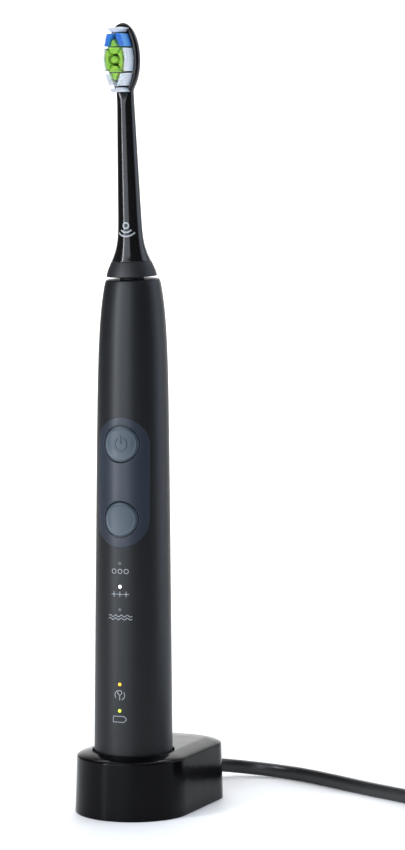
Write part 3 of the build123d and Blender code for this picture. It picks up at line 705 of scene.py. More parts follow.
def strain_relief():
    """Short moulded sleeve in the back wall, with a groove round it."""
    inside, edge = 2.0, 0.4
    tip = CORD_WIDTH / 2 + RELIEF_LIP
    profile = [(0, -inside), (RELIEF_RADIUS, -inside), (RELIEF_RADIUS, 0.2)]
    profile += corner((RELIEF_RADIUS - edge, 0.6), edge, 0, 60)
    profile += [(3.75, 1.3), (3.45, 1.45), (3.45, 1.75), (3.65, 1.9), (3.35, 2.6), (tip, RELIEF_OUTSIDE - 0.15)]
    profile += [(tip - 0.3, RELIEF_OUTSIDE), (0, RELIEF_OUTSIDE)]
    ring = turned_grid(profile, 64)
    grid = np.stack([ring[..., 0], CHARGER_BACK + ring[..., 2], CORD_EXIT_Z + ring[..., 1]], -1)
    relief = grid_piece("lead_relief", on_charger(grid))
    return dress(relief, MATERIALS["cord"], "charger", "strain_relief")


tie = coil_tie()
plug = plug_body()
pins = plug_pins()
relief = strain_relief()

# ---------------------------------------------------------------- handle


def handle_radius(z):
    """Outer radius: a straight taper, less a shoulder that dies away exponentially below the top."""
    depth = TOP_Z - z
    length = TOP_Z - FOOT_Z
    return FOOT_RADIUS - TAPER * (1 - depth / length) - SHOULDER_DROP * np.exp(-depth / SHOULDER_REACH)


def front_y(x, z, proud=0.0):
    """Y of the handle's front surface at (x, z), standing proud of it."""
    radius = handle_radius(z) + proud
    return -np.sqrt(np.maximum(radius ** 2 - np.asarray(x) ** 2, 1e-6))


def top_height(radius, around):
    """Height of the sloping top face at a radius and an angle from the front."""
    return TOP_Z - radius * np.cos(around) * math.tan(LEAN)

FOOT_EDGE = 0.7
RIM_EDGE = 0.6
RIM_NEAR = 9.4
BORE_DEPTH = 2.3
CAP_RECESS = 6.5
FOOT_BEVEL = 0.9
TILT_FROM = 150.0
OPENING_INSET = 1.6
OPENING_OVERRUN = 5.0


def handle_shell():
    """Turned casing whose rings tilt from level to the slope of the top face over the last stretch;
    a window under the pad lets the buttons through, and a wall is turned in behind."""
    count = 320
    around = angles(count)
    rows = []
    for angle in np.linspace(0, math.pi / 2, 6):
        z = FOOT_Z + FOOT_EDGE * (1 - math.cos(angle))
        rows.append(around_z(handle_radius(z) - FOOT_EDGE * (1 - math.sin(angle)), around, z))
    heights = np.concatenate([
        np.linspace(FOOT_Z + 1.6, 90.0, 40),
        np.linspace(92.0, 139.0, 80),
        np.linspace(140.0, TOP_Z - 1.2, 46),
    ])
    for z in heights:
        slope = math.tan(LEAN) * max(0.0, (z - TILT_FROM) / (TOP_Z - TILT_FROM))
        ring_z = z - slope * handle_radius(z) * np.cos(around)
        rows.append(around_z(handle_radius(np.minimum(ring_z, TOP_Z + 2)), around, ring_z))
    rim_radius = handle_radius(top_height(RIM_NEAR, around))
    for angle in np.radians((0, 18, 36, 54, 72, 90)):
        r = rim_radius - RIM_EDGE * (1 - math.cos(angle))
        rows.append(around_z(r, around, top_height(r, around) - RIM_EDGE * (1 - math.sin(angle))))
    bore = SEAL_RADIUS + FIT
    for share in (0.8, 0.55, 0.3, 0.12):
        r = bore + (rim_radius - RIM_EDGE - SEAL_RADIUS) * share
        rows.append(around_z(r, around, top_height(r, around)))
    rows += list(on_drive_axis(turned_grid([(bore, 0.0), (bore, -BORE_DEPTH)], count)))
    foot_in = FOOT_RADIUS - SHELL_WALL - FIT
    inner = [(foot_in, FOOT_Z + CAP_RECESS), (foot_in, FOOT_Z), (foot_in + FOOT_BEVEL, FOOT_Z)]
    grid = np.concatenate([turned_grid(inner, count), rows])
    faces = grid_faces(len(grid), count)
    points = grid.reshape(-1, 3)
    centre = points[faces].mean(1)
    under_pad = (centre[:, 1] < 0) & (np.abs(centre[:, 0]) < PAD_HALF - OPENING_INSET)
    under_pad &= np.abs(centre[:, 2] - PAD_Z) < PAD_STRAIGHT + OPENING_OVERRUN
    shell = mesh_piece("handle_casing", points, faces[~under_pad])
    return dress(shell, MATERIALS["casing"], "handle", "handle_shell")


handle_shell()


def slot_distance(x, z):
    """How far inside the pad's slot outline a point lies."""
    over = np.maximum(np.abs(z - PAD_Z) - PAD_STRAIGHT, 0.0)
    return PAD_HALF - np.hypot(x, over)


def rounded_rise(distance, radius):
    """Drop of an edge rounded with the given radius, at a distance inside the edge."""
    inside = np.clip(distance / radius, 0.0, 1.0)
    return radius * (1 - np.sqrt(1 - (1 - inside) ** 2))


def standing_y(x, z, proud):
    """Y of a surface that stands proud of the handle's front along its normal."""
    return front_y(x, z) - proud * np.sqrt(1 - (x / handle_radius(z)) ** 2)


PAD_EDGE = 0.22
PAD_WALL_DEPTH = 1.3
PAD_SKIRT_DEPTH = 0.5
NEAR_WINDOW = np.array([0.0, 0.02, 0.05, 0.1, 0.16, 0.24])
NEAR_OUTLINE = 1 - np.array([0.3, 0.2, 0.12, 0.07, 0.035, 0.015, 0.0]) / 3


def pad_half(button_z, button_radius, upwards):
    """Half of the pad, as rays from the button's window to the outline: flat across, round at both edges."""
    cap_z = PAD_Z + upwards * PAD_STRAIGHT
    arc = np.linspace(-math.pi / 2, math.pi / 2, 81)
    outer = [(PAD_HALF * math.sin(a), cap_z + upwards * PAD_HALF * math.cos(a)) for a in arc]
    side = np.linspace(cap_z, PAD_Z, 25)[1:]
    base = np.linspace(PAD_HALF, -PAD_HALF, 49)[1:]
    outer += [(PAD_HALF, z) for z in side] + [(x, PAD_Z) for x in base]
    outer += [(-PAD_HALF, z) for z in side[::-1][1:]]
    ray = np.array(outer) - (0.0, button_z)
    reach = np.hypot(ray[:, 0], ray[:, 1])
    unit = ray / reach[:, None]
    hole = button_radius + BUTTON_GAP
    start = hole + NEAR_WINDOW[-1]
    rows = [hole + step + 0 * reach for step in NEAR_WINDOW]
    rows += [start + (reach - start) * share for share in np.linspace(0.1, 0.86, 9)]
    rows += [start + (reach - start) * share for share in NEAR_OUTLINE]
    rows = np.array(rows)
    x = unit[:, 0] * rows
    z = button_z + unit[:, 1] * rows
    drop = rounded_rise(rows - hole, PAD_EDGE) + rounded_rise(slot_distance(x, z), PAD_EDGE)
    surface = np.stack([x, standing_y(x, z, PAD_PROUD - drop), z], -1)
    wall = surface[:1] + (0.0, PAD_WALL_DEPTH, 0.0)
    return np.concatenate([wall, surface])


def control_pad():
    """Inlay with two windows; its outer skirt runs down into the casing all round."""
    halves = [pad_half(POWER_Z, POWER_RADIUS, 1), pad_half(MODE_Z, MODE_RADIUS, -1)]
    around = angles(240)
    x = PAD_HALF * np.sin(around)
    z = PAD_Z + PAD_HALF * np.cos(around) + np.sign(np.round(np.cos(around), 6)) * PAD_STRAIGHT
    top = standing_y(x, z, PAD_PROUD - PAD_EDGE)
    skirt = np.stack([np.stack([x, top, z], -1), np.stack([x, top + PAD_SKIRT_DEPTH, z], -1)])
    pad = grids_piece("button_pad", halves + [skirt])
    return dress(pad, MATERIALS["pad"], "handle", "control_pad")


control_pad()

MARK_RADIUS = 2.1
MARK_OPENING = 0.62
MARK_STROKE = 0.34
MARK_BLUR = 0.12
MARK_HEIGHT = 0.2
BAR_MIDDLE = 1.45
BAR_HALF = 1.05


def power_mark(x, z):
    """The raised power sign, 1 on it and 0 off it: a ring open at the top, and a bar through the opening."""
    end_x, end_z = MARK_RADIUS * math.sin(MARK_OPENING), MARK_RADIUS * math.cos(MARK_OPENING)
    is_open = np.abs(np.arctan2(x, z)) < MARK_OPENING
    ring = np.where(is_open, np.hypot(np.abs(x) - end_x, z - end_z), np.abs(np.hypot(x, z) - MARK_RADIUS))
    bar = np.hypot(x, np.maximum(np.abs(z - BAR_MIDDLE) - BAR_HALF, 0.0))
    return np.clip((MARK_STROKE - np.minimum(ring, bar)) / MARK_BLUR + 0.5, 0.0, 1.0)

CAP_EDGE = 0.5
CAP_DISH = 0.16
CAP_SKIRT = 1.0
RIM_INSET = 0.75
RIM_CREST = 0.13
RIM_WIDTH = 0.28


def button_cap(name, node, body, z, radius, marked):
    """Cap that follows the handle's curve: a dished middle, a low rim and a rounded edge down to its skirt."""
    around = angles(240)
    rim = radius - RIM_INSET
    ring = np.concatenate([
        np.linspace(0, 3.2, 44), np.linspace(3.4, rim - 0.6, 8), np.linspace(rim - 0.5, rim + 0.2, 8),
        radius - CAP_EDGE * (1 - np.sin(np.linspace(0.15, math.pi / 2, 9))),
    ])
    x = ring[:, None] * np.sin(around)
    up = ring[:, None] * np.cos(around)
    dish = -CAP_DISH * (1 - np.clip(ring / (rim - 0.35), 0, 1) ** 2)
    crest = RIM_CREST * np.exp(-((ring - rim) / RIM_WIDTH) ** 2)
    past_edge = np.clip(ring - (radius - CAP_EDGE), 0, CAP_EDGE)
    fall = np.sqrt(np.maximum(CAP_EDGE ** 2 - past_edge ** 2, 0)) - CAP_EDGE
    height = (BUTTON_PROUD - PAD_PROUD + dish + crest + fall)[:, None] + 0 * x
    if marked:
        height = height + MARK_HEIGHT * power_mark(x, up)
    surface = np.stack([x, front_y(x, z + up) - height, z + up], -1)
    skirt = surface[-1:] + (0.0, CAP_SKIRT, 0.0)
    cap = grid_piece(name, np.concatenate([surface, skirt]))
    return dress(cap, MATERIALS["button"], body, node)


button_cap("power_cap", "power_button", "power_button", POWER_Z, POWER_RADIUS, True)
button_cap("mode_cap", "mode_button", "mode_button", MODE_Z, MODE_RADIUS, False)

LENSES = {
    "mode_light_upper": lens("lens_unlit", "#3c4145", 0.0),
    "mode_light_middle": lens("lens_lit_white", "#ffffff", 2.0),
    "mode_light_lower": lens("lens_unlit_lower", "#3c4145", 0.0),
    "brush_head_light": lens("lens_lit_amber", "#ffb400", 1.1),
    "battery_light": lens("lens_lit_green", "#c3e312", 1.0),
}


DOME_HEIGHT = 0.09
LENS_PROUD = 0.02
LENS_RIM = 0.3


def light_lens(node):
    """Domed end of a light pipe: a shallow cap on the handle's curve with a short rim sunk in it."""
    z = LIGHTS[node]
    around = angles(40)
    ring = LIGHT_RADIUS * np.sin(np.linspace(0, math.pi / 2, 10))
    x = ring[:, None] * np.sin(around)
    up = ring[:, None] * np.cos(around)
    dome = DOME_HEIGHT * np.sqrt(np.maximum(1 - (ring / LIGHT_RADIUS) ** 2, 0))
    y = front_y(x, z + up) - LENS_PROUD - dome[:, None]
    surface = np.stack([x, y, z + up], -1)
    skirt = surface[-1:] + (0.0, LENS_RIM, 0.0)
    piece = grid_piece(node + "_lens", np.concatenate([surface, skirt]))
    return dress(piece, LENSES[node], "handle", node)


for light_node in LIGHTS:
    light_lens(light_node)


INK_PROUD = 0.03
INK_LINE = 0.2


def line_mark(paths, width, on_surface):
    """Printed lines: each path is a ribbon of the given width, laid a little proud of a surface.
    Paths are (across, up) points; the ribbon's edges are half a width to either side."""
    grids = []
    for path in paths:
        path = np.asarray(path, float)
        along = np.gradient(path, axis=0)
        along /= np.linalg.norm(along, axis=1)[:, None]
        side = np.stack([-along[:, 1], along[:, 0]], -1) * width / 2
        rows = np.stack([path + side, path, path - side])
        grids.append(on_surface(rows))
    return grids


def arc_path(centre, radius, start, end, count=24):
    """Points of a circle's arc in (across, up), with angles in degrees from the right."""
    turn = np.radians(np.linspace(start, end, count))
    return np.stack([centre[0] + radius * np.cos(turn), centre[1] + radius * np.sin(turn)], -1)


def straight(*points, count=8):
    """A path of straight runs through the given points."""
    points = np.array(points, float)
    share = np.linspace(0, 1, count)[:-1, None]
    runs = [start + (end - start) * share for start, end in zip(points, points[1:])]
    return np.concatenate(runs + [points[-1:]])


def on_handle(rows):
    """(across, up) points laid on the handle's front."""
    x, z = rows[..., 0], rows[..., 1]
    return np.stack([x, front_y(x, z, INK_PROUD), z], -1)


def handle_prints():
    """Battery outline, a brush between two arrows' arcs, and one small sign under each mode light."""
    z = 34.1
    left, cut, right, high, low = -2.4, 1.5, 2.3, 1.0, 0.3
    battery = straight((left, z - high), (cut, z - high), (right, z - low), (right, z + low), (cut, z + high),
                       (left, z + high), (left, z - high))
    grids = line_mark([battery], INK_LINE, on_handle)
    z = 42.5
    brush = [arc_path((0, z + 0.75), 0.75, -80, 260), straight((0, z - 0.05), (0, z - 1.9))]
    swirls = [arc_path((0, z - 0.1), 1.75, 115, 215), arc_path((0, z - 0.1), 1.75, -65, 35)]
    grids += line_mark(brush + swirls, 0.22, on_handle)
    places = (-2.2, 0, 2.2)
    z = LIGHTS["mode_light_upper"] - 2.7
    grids += line_mark([arc_path((x, z), 0.75, 0, 360, 32) for x in places], INK_LINE, on_handle)
    z = LIGHTS["mode_light_middle"] - 2.6
    arm = 0.95
    for x in places:
        plus = [straight((x, z - arm), (x, z + arm)), straight((x - arm, z), (x + arm, z))]
        grids += line_mark(plus, INK_LINE, on_handle)
    z = LIGHTS["mode_light_lower"] - 2.6
    wave_reach, wave_height, wave_length = 4.2, 0.32, 2.1
    across = np.linspace(-wave_reach, wave_reach, 90)
    wave = z + wave_height * np.sin(across * TURN / wave_length)
    grids += line_mark([np.stack([across, wave + lift], -1) for lift in (-0.5, 0.5)], INK_LINE, on_handle)
    prints = grids_piece("handle_prints", grids, wrap_columns=False)
    return dress(prints, MATERIALS["ink"], "handle")


handle_prints()

# ---------------------------------------------------------------- brush head


def neck_radius(s):
    """A slow taper plus a bell that flares to the collar."""
    return NECK_ROOT - NECK_SLOPE * s + FLARE * np.exp(-((s / FLARE_REACH) ** 2))


def ease(value, low, high):
    """Smooth step from 0 at low to 1 at high."""
    t = np.clip((value - low) / (high - low), 0, 1)
    return t * t * (3 - 2 * t)


def platen_width(s):
    """Half width of the oval plate at a distance along the head."""
    share = np.clip((s - PLATEN_MIDDLE) / PLATEN_HALF_HEIGHT, -1, 1)
    return PLATEN_HALF_WIDTH * np.sqrt(1 - share ** 2)

BLEND_SHARPNESS = 8.0
NECK_ENDS = (66, 74)
PLATE_GROWS = (59, 67)
FRONT_SQUARING = 0.62
BACK_SQUARING = 0.15


def brush_neck():
    """Neck and plate in one skin: round rings whose half width follows the larger of neck and oval,
    whose front flattens to a face for the bristles and whose back thins to a rounded edge."""
    around = angles(160)
    low = HEAD_GAP + COLLAR_HEIGHT
    tip = PLATEN_MIDDLE + PLATEN_HALF_HEIGHT
    s = np.concatenate([
        np.linspace(low, 22, 40)[:-1], np.linspace(22, 56, 40)[:-1], np.linspace(56, 80, 60)[:-1],
        80 + (tip - 80) * np.sin(np.linspace(0, math.pi / 2, 40)),
    ])
    neck = neck_radius(s) * (1 - ease(s, *NECK_ENDS))
    wide = (neck ** BLEND_SHARPNESS + platen_width(s) ** BLEND_SHARPNESS) ** (1 / BLEND_SHARPNESS)
    plate = ease(s, *PLATE_GROWS)
    end = np.sqrt(np.clip(1 - ((s - PLATEN_MIDDLE) / PLATEN_HALF_HEIGHT) ** 8, 0, 1))
    end = np.where(s > PLATEN_MIDDLE, end, 1.0)
    root = neck_radius(np.minimum(s, 70)) * (1 - plate)
    front = (root + PLATEN_FRONT * plate) * end
    back = (root + PLATEN_BACK * plate) * end
    side, depth = np.sin(around), -np.cos(around)
    in_front = depth < 0
    power = 1.0 - np.where(in_front, FRONT_SQUARING, BACK_SQUARING) * plate[:, None]
    x = wide[:, None] * squared(side, power)
    y = np.where(in_front, front[:, None], back[:, None]) * squared(depth, power)
    grid = np.stack([x, y, np.broadcast_to(s[:, None], x.shape)], -1)
    bore = 4.3
    foot = turned_grid([(bore, 2.2), (bore, low - 0.05), (neck_radius(low) - 0.25, low - 0.02)], len(around))
    neck_piece = grid_piece("head_neck", on_drive_axis(np.concatenate([foot, grid])))
    return dress(neck_piece, MATERIALS["neck"], "brush_head", "brush_neck")


brush_neck()


def head_collar():
    """Soft flared ring with a rounded foot and a fine step where the glossy neck begins."""
    low, high, bore = HEAD_GAP, HEAD_GAP + COLLAR_HEIGHT, 4.4
    foot = neck_radius(low)
    profile = [(bore, high - 0.2), (bore, low), (foot - 0.4, low), (foot - 0.15, low + 0.08), (foot, low + 0.2)]
    profile += [(neck_radius(s) + 0.02, s) for s in np.linspace(low + 0.35, high - 0.12, 30)]
    profile += [(neck_radius(high) - 0.1, high - 0.02), (bore, high - 0.02)]
    collar = grid_piece("soft_collar", on_drive_axis(turned_grid(profile, 192)))
    return dress(collar, MATERIALS["collar"], "brush_head", "head_collar")


head_collar()

SHAFT_CHAMFER = 0.4
SHAFT_FLAT = 0.5
SHAFT_FLAT_LENGTH = 8.0


def shaft_parts():
    """Ground shaft with its chamfered tip, and the rubber seal with a small lip round it."""
    flat_from = SHAFT_ABOVE - SHAFT_FLAT_LENGTH
    shaft = turned_grid([
        (0, -SHAFT_BELOW), (SHAFT_RADIUS, -SHAFT_BELOW), (SHAFT_RADIUS, flat_from - 0.05),
        (SHAFT_RADIUS, flat_from + 0.05), (SHAFT_RADIUS, SHAFT_ABOVE - SHAFT_CHAMFER),
        (SHAFT_RADIUS - SHAFT_CHAMFER, SHAFT_ABOVE), (0, SHAFT_ABOVE),
    ], 96)
    keyed = shaft[..., 2] > flat_from
    shaft[..., 1] = np.where(keyed, np.minimum(shaft[..., 1], SHAFT_RADIUS - SHAFT_FLAT), shaft[..., 1])
    piece = grid_piece("drive_spindle", on_drive_axis(shaft))
    dress(piece, MATERIALS["shaft"], "drive", "drive_shaft")
    inner, flange, edge = SHAFT_RADIUS + FIT, 5.8, 0.25
    profile = [(inner, -3.9), (flange, -3.9), (flange, -2.4), (SEAL_RADIUS, -2.4), (SEAL_RADIUS, edge)]
    profile += corner((SEAL_RADIUS - edge, 0.35), edge, 0, 90) + [(3.1, 0.6), (2.9, 0.45), (2.5, 0.4)]
    profile += [(2.3, 0.58), (inner, 0.58)]
    seal = grid_piece("shaft_boot", on_drive_axis(turned_grid(profile + profile[:1], 128)))
    dress(seal, MATERIALS["rubber"], "handle", "shaft_seal")


shaft_parts()


def on_neck(rows):
    """(across, along) points laid on the front of the neck."""
    x, s = rows[..., 0], rows[..., 1]
    radius = neck_radius(s) + INK_PROUD
    y = -np.sqrt(np.maximum(radius ** 2 - x ** 2, 1e-6))
    return on_drive_axis(np.stack([x, y, s], -1))


def neck_print():
    """Small transmitting sign: a ring with two open arcs below it."""
    s = 18.6
    marks = [arc_path((0, s), 0.95, 0, 360, 40)]
    marks += [arc_path((0, s + 0.2), radius, 222, 318) for radius in (2.5, 3.9)]
    prints = grids_piece("neck_print", line_mark(marks, 0.5, on_neck), wrap_columns=False)
    return dress(prints, MATERIALS["ink"], "brush_head")


neck_print()

# ---------------------------------------------------------------- bristles

ROW_TIP = 85.6
ROW_WINGS = 83.8
ROW_HIGH = 79.0
ROW_LOW = 70.6
ROW_HEEL_HIGH = 65.8
ROW_HEEL = 63.8
TUFT_GAP = 0.3
FIELD_HALF = 4.0
FIELD_BULGE = 4.5
CORE_HALF = 2.5
CORE_BULGE = 2.95
WEDGE_HALF = 1.35
WEDGE_HEIGHT = 3.0
HUB_RADIUS = 1.2
FIELD_ROWS = (62.0, 87.0)
FIELD_REACH = 5.6
FILAMENT_RADIUS = 0.115
FILAMENT_PITCH = 0.24
FILAMENT_STRAY = 0.03
FILAMENT_SET_IN = 0.3
FILAMENT_LEAN = 0.045
LENGTH_SPREAD = 0.12
TUFT_SPLAY = 0.12
TUFT_SHRINK = 0.2
GREEN_SLIT = 0.46
random = np.random.default_rng(12)


def inside_outline(x, s, outline):
    """Which points lie inside a closed outline, by counting the edges crossed on the way out."""
    outline = np.asarray(outline, float)
    inside = np.zeros(x.shape, bool)
    for (x0, s0), (x1, s1) in zip(outline, np.roll(outline, -1, axis=0)):
        crosses = (s0 > s) != (s1 > s)
        at = x0 + (s - s0) * (x1 - x0) / np.where(s1 == s0, 1e-9, s1 - s0)
        inside ^= crosses & (x < at)
    return inside


def filament_places(keep):
    """Feet of filaments on a close packed lattice over the plate, moved a little at random, where keep says."""
    rows = np.arange(*FIELD_ROWS, FILAMENT_PITCH * 0.866)
    columns = np.arange(-FIELD_REACH, FIELD_REACH, FILAMENT_PITCH)
    x, s = np.meshgrid(columns, rows)
    x = x + FILAMENT_PITCH / 2 * (np.arange(len(rows)) % 2)[:, None]
    x, s = x.ravel(), s.ravel()
    x = x + random.uniform(-FILAMENT_STRAY, FILAMENT_STRAY, x.shape)
    s = s + random.uniform(-FILAMENT_STRAY, FILAMENT_STRAY, s.shape)
    chosen = keep(x, s)
    return x[chosen], s[chosen]


def filaments(colour, places, reach, splay, material):
    """Six sided filaments with domed tips: each stands on the plate at (x, s), leans a little and bends
    outwards with the square of its length, and ends at a length that differs by a tenth of a millimetre."""
    x, s = places
    count, sides = len(x), 6
    along = np.array([0.0, 0.45, 0.8, 0.97, 1.0])
    thick = np.array([1.0, 1.0, 0.98, 0.72, 0.0]) * FILAMENT_RADIUS
    length = reach + random.uniform(-LENGTH_SPREAD, LENGTH_SPREAD, count)
    lean_x = random.normal(0, FILAMENT_LEAN, count) + splay * x / FIELD_HALF
    lean_s = random.normal(0, FILAMENT_LEAN, count) + splay * (s - PLATEN_MIDDLE) / PLATEN_HALF_HEIGHT
    turn = angles(sides)
    bend = along ** 2
    centre_x = x[:, None] + lean_x[:, None] * bend
    centre_s = s[:, None] + lean_s[:, None] * bend
    centre_y = FILAMENT_SET_IN - PLATEN_FRONT - (length[:, None] + FILAMENT_SET_IN) * along
    ring_x = centre_x[..., None] + thick[None, :, None] * np.cos(turn)
    ring_s = centre_s[..., None] + thick[None, :, None] * np.sin(turn)
    ring_y = np.broadcast_to(centre_y[..., None], ring_x.shape)
    points = np.stack([ring_x, ring_y, ring_s], -1)
    one = grid_faces(len(along), sides)
    faces = (one[None] + np.arange(count)[:, None, None] * len(along) * sides).reshape(-1, 4)
    mesh = bpy.data.meshes.new("filaments_" + colour)
    mesh.from_pydata((on_drive_axis(points).reshape(-1, 3) * MM).tolist(), [], faces.tolist())
    mesh.validate()
    return dress(smooth_object("filaments_" + colour, mesh), material, "brush_head", colour + "_bristles")


def mirrored(outline):
    """An outline and its mirror image."""
    return [outline, [(-x, s) for x, s in outline]]


def any_inside(outlines):
    """A test that is true inside any of the outlines, by a little more than a filament's radius."""
    def test(x, s):
        nudges = ((TUFT_SHRINK, 0), (-TUFT_SHRINK, 0), (0, TUFT_SHRINK), (0, -TUFT_SHRINK))
        found = np.zeros(x.shape, bool)
        for outline in outlines:
            found |= np.all([inside_outline(x + dx, s + ds, outline) for dx, ds in nudges], axis=0)
        return found
    return test


MIDDLE = (ROW_HIGH + ROW_LOW) / 2
WHITE_TUFTS = [
    [(-3.1, ROW_TIP), (3.1, ROW_TIP), (1.7, ROW_WINGS), (-1.7, ROW_WINGS)],
    [(-1.9, ROW_HEEL_HIGH - TUFT_GAP), (1.9, ROW_HEEL_HIGH - TUFT_GAP), (2.7, ROW_HEEL), (-2.7, ROW_HEEL)],
]
WHITE_TUFTS += mirrored([
    (CORE_HALF + TUFT_GAP, ROW_HIGH - TUFT_GAP), (FIELD_HALF, ROW_HIGH - TUFT_GAP), (FIELD_BULGE, MIDDLE),
    (FIELD_HALF, ROW_LOW), (CORE_HALF + TUFT_GAP, ROW_LOW), (CORE_BULGE + TUFT_GAP, MIDDLE),
])
WHITE_TUFTS += mirrored([
    (WEDGE_HALF + TUFT_GAP, ROW_LOW - TUFT_GAP), (FIELD_HALF, ROW_LOW - TUFT_GAP), (2.5, ROW_HEEL_HIGH),
    (TUFT_GAP / 2, ROW_HEEL_HIGH),
])
BLUE_TUFTS = mirrored([
    (TUFT_GAP / 2, ROW_WINGS - TUFT_GAP), (2.7, ROW_WINGS - TUFT_GAP), (3.9, ROW_HIGH),
    (WEDGE_HALF + TUFT_GAP, ROW_HIGH),
])


def green_tufts(x, s):
    """The barrel without its cross of slits and the ring round its hub, the hub, and the two wedges."""
    high = ROW_HIGH - TUFT_GAP
    low = ROW_LOW - TUFT_GAP
    middle = (high + ROW_LOW) / 2
    barrel = inside_outline(x, s, [
        (-CORE_HALF, high), (CORE_HALF, high), (CORE_BULGE, MIDDLE), (CORE_HALF, ROW_LOW),
        (-CORE_HALF, ROW_LOW), (-CORE_BULGE, MIDDLE),
    ])
    rise = (high - ROW_LOW) / 2
    size = math.hypot(CORE_HALF, rise)
    one_way, other_way = (np.abs(x * rise + way * (s - middle) * CORE_HALF) for way in (-1, 1))
    slit = np.minimum(one_way, other_way) / size
    from_hub = np.hypot(x, s - middle)
    barrel &= (slit > GREEN_SLIT) & (from_hub > HUB_RADIUS + 2 * GREEN_SLIT)
    hub = from_hub < HUB_RADIUS - 0.1
    wedges = any_inside([
        [(-WEDGE_HALF, ROW_HIGH), (WEDGE_HALF, ROW_HIGH), (0, ROW_HIGH + WEDGE_HEIGHT)],
        [(-WEDGE_HALF, low), (WEDGE_HALF, low), (0, low - WEDGE_HEIGHT)],
    ])(x, s)
    return barrel | hub | wedges


def make_bristles():
    """White, blue and green filaments, each colour one piece."""
    root, tip = -PLATEN_FRONT * MM, -(PLATEN_FRONT + BRISTLE_REACH) * MM
    # The first colour of each is the foot's, darkened as painted shade deep in the tufts; the second is the
    # filament's own colour at the tip.
    white = nylon("white_nylon", "#a9b0bd", "#f4f6fa", root, tip)
    blue = nylon("blue_nylon", "#1c64b8", "#62b0f2", root, tip)
    green = nylon("green_nylon", "#274f12", "#c6ee84", root, tip)
    filaments("white", filament_places(any_inside(WHITE_TUFTS)), BRISTLE_REACH, TUFT_SPLAY, white)
    filaments("blue", filament_places(any_inside(BLUE_TUFTS)), BRISTLE_REACH, TUFT_SPLAY, blue)
    filaments("green", filament_places(green_tufts), BRISTLE_REACH + GREEN_EXTRA, 0.0, green)


make_bristles()

# ---------------------------------------------------------------- charger


def charger_outline(inset, arc_count=97, side_count=20, corner_count=25, back_count=26):
    """The charger's plan moved in by inset: a half round front, straight sides, round back corners."""
    front, back = CHARGER_RADIUS - inset, CHARGER_BACK - inset
    corner_radius = np.maximum(CHARGER_CORNER - inset, 1.0)
    lower, inner = back - corner_radius, front - corner_radius
    sweep = np.linspace(-math.pi / 2, math.pi / 2, arc_count)
    parts = [np.stack([front * np.sin(sweep), -front * np.cos(sweep)], -1)]
    up = np.linspace(0, 1, side_count)[1:-1]
    parts.append(np.stack([np.full(up.shape, front), lower * up], -1))
    turn = np.linspace(0, math.pi / 2, corner_count)
    parts.append(np.stack([inner + corner_radius * np.cos(turn), lower + corner_radius * np.sin(turn)], -1))
    over = np.linspace(1, -1, back_count)[1:-1]
    parts.append(np.stack([inner * over, np.full(over.shape, back)], -1))
    turn = turn[::-1]
    parts.append(np.stack([-inner - corner_radius * np.cos(turn), lower + corner_radius * np.sin(turn)], -1))
    parts.append(np.stack([np.full(up.shape, -front), lower * up[::-1]], -1))
    return np.concatenate(parts)


def at_height(plan, z):
    """A plan's points, all at one height."""
    return np.concatenate([plan, np.full((len(plan), 1), z)], 1)


WALL_FOOT = 0.4
LIP_EDGE = 0.35


def charger_housing():
    """Glossy shell: a drafted wall on a small foot radius, a crown that falls away as a parabola,
    a rounded lip down into the seat, the seat's floor, and the domed post in its middle."""
    plate_inset = CHARGER_WALL + FIT
    levels = [(plate_inset + 0.02, 1.2), (plate_inset, 0.0), (0.5, 0.0)]
    bend = np.radians((0, 22, 45, 68, 90))
    levels += [(WALL_FOOT * (1 - math.sin(a)), WALL_FOOT * (1 - math.cos(a))) for a in bend]
    levels += [(CHARGER_DRAFT * z / CHARGER_HEIGHT, z) for z in np.linspace(1.5, CHARGER_HEIGHT - 0.4, 14)]
    rows = [at_height(charger_outline(inset), z) for inset, z in levels]
    lip = SEAT_RADIUS + LIP_EDGE
    for t in np.linspace(0, 1, 22):
        plan = charger_outline(CHARGER_DRAFT + CROWN_WIDTH * t * t)
        plan = plan * np.maximum(1.0, lip / np.hypot(plan[:, 0], plan[:, 1]))[:, None]
        rows.append(at_height(plan, CHARGER_HEIGHT + CROWN_HEIGHT * t))
    top = CHARGER_HEIGHT + CROWN_HEIGHT
    unit = plan / np.hypot(plan[:, 0], plan[:, 1])[:, None]
    for share in (0.25, 0.5, 0.75, 0.9, 1.0):
        rows.append(at_height(plan * (1 - share) + unit * lip * share, top))
    post_top = SEAT_FLOOR_Z + POST_HEIGHT
    lip_bend = np.radians((20, 45, 70, 90))
    circles = [(lip - LIP_EDGE * math.sin(a), top - LIP_EDGE * (1 - math.cos(a))) for a in lip_bend]
    circles += [(SEAT_RADIUS, SEAT_FLOOR_Z + 0.3), (SEAT_RADIUS - 0.3, SEAT_FLOOR_Z)]
    circles += [(POST_RADIUS + 0.5, SEAT_FLOOR_Z), (POST_RADIUS, SEAT_FLOOR_Z + 0.5)]
    circles += [(POST_RADIUS - 1 + math.cos(a), post_top - 1 + math.sin(a)) for a in bend] + [(0.0, post_top)]
    rows += [at_height(unit * radius, z) for radius, z in circles]
    housing = grid_piece("charger_shell", on_charger(np.array(rows)))
    return dress(housing, MATERIALS["gloss"], "charger", "charger_housing")


charger_housing()

# ---------------------------------------------------------------- materials of the CAD pieces that stay

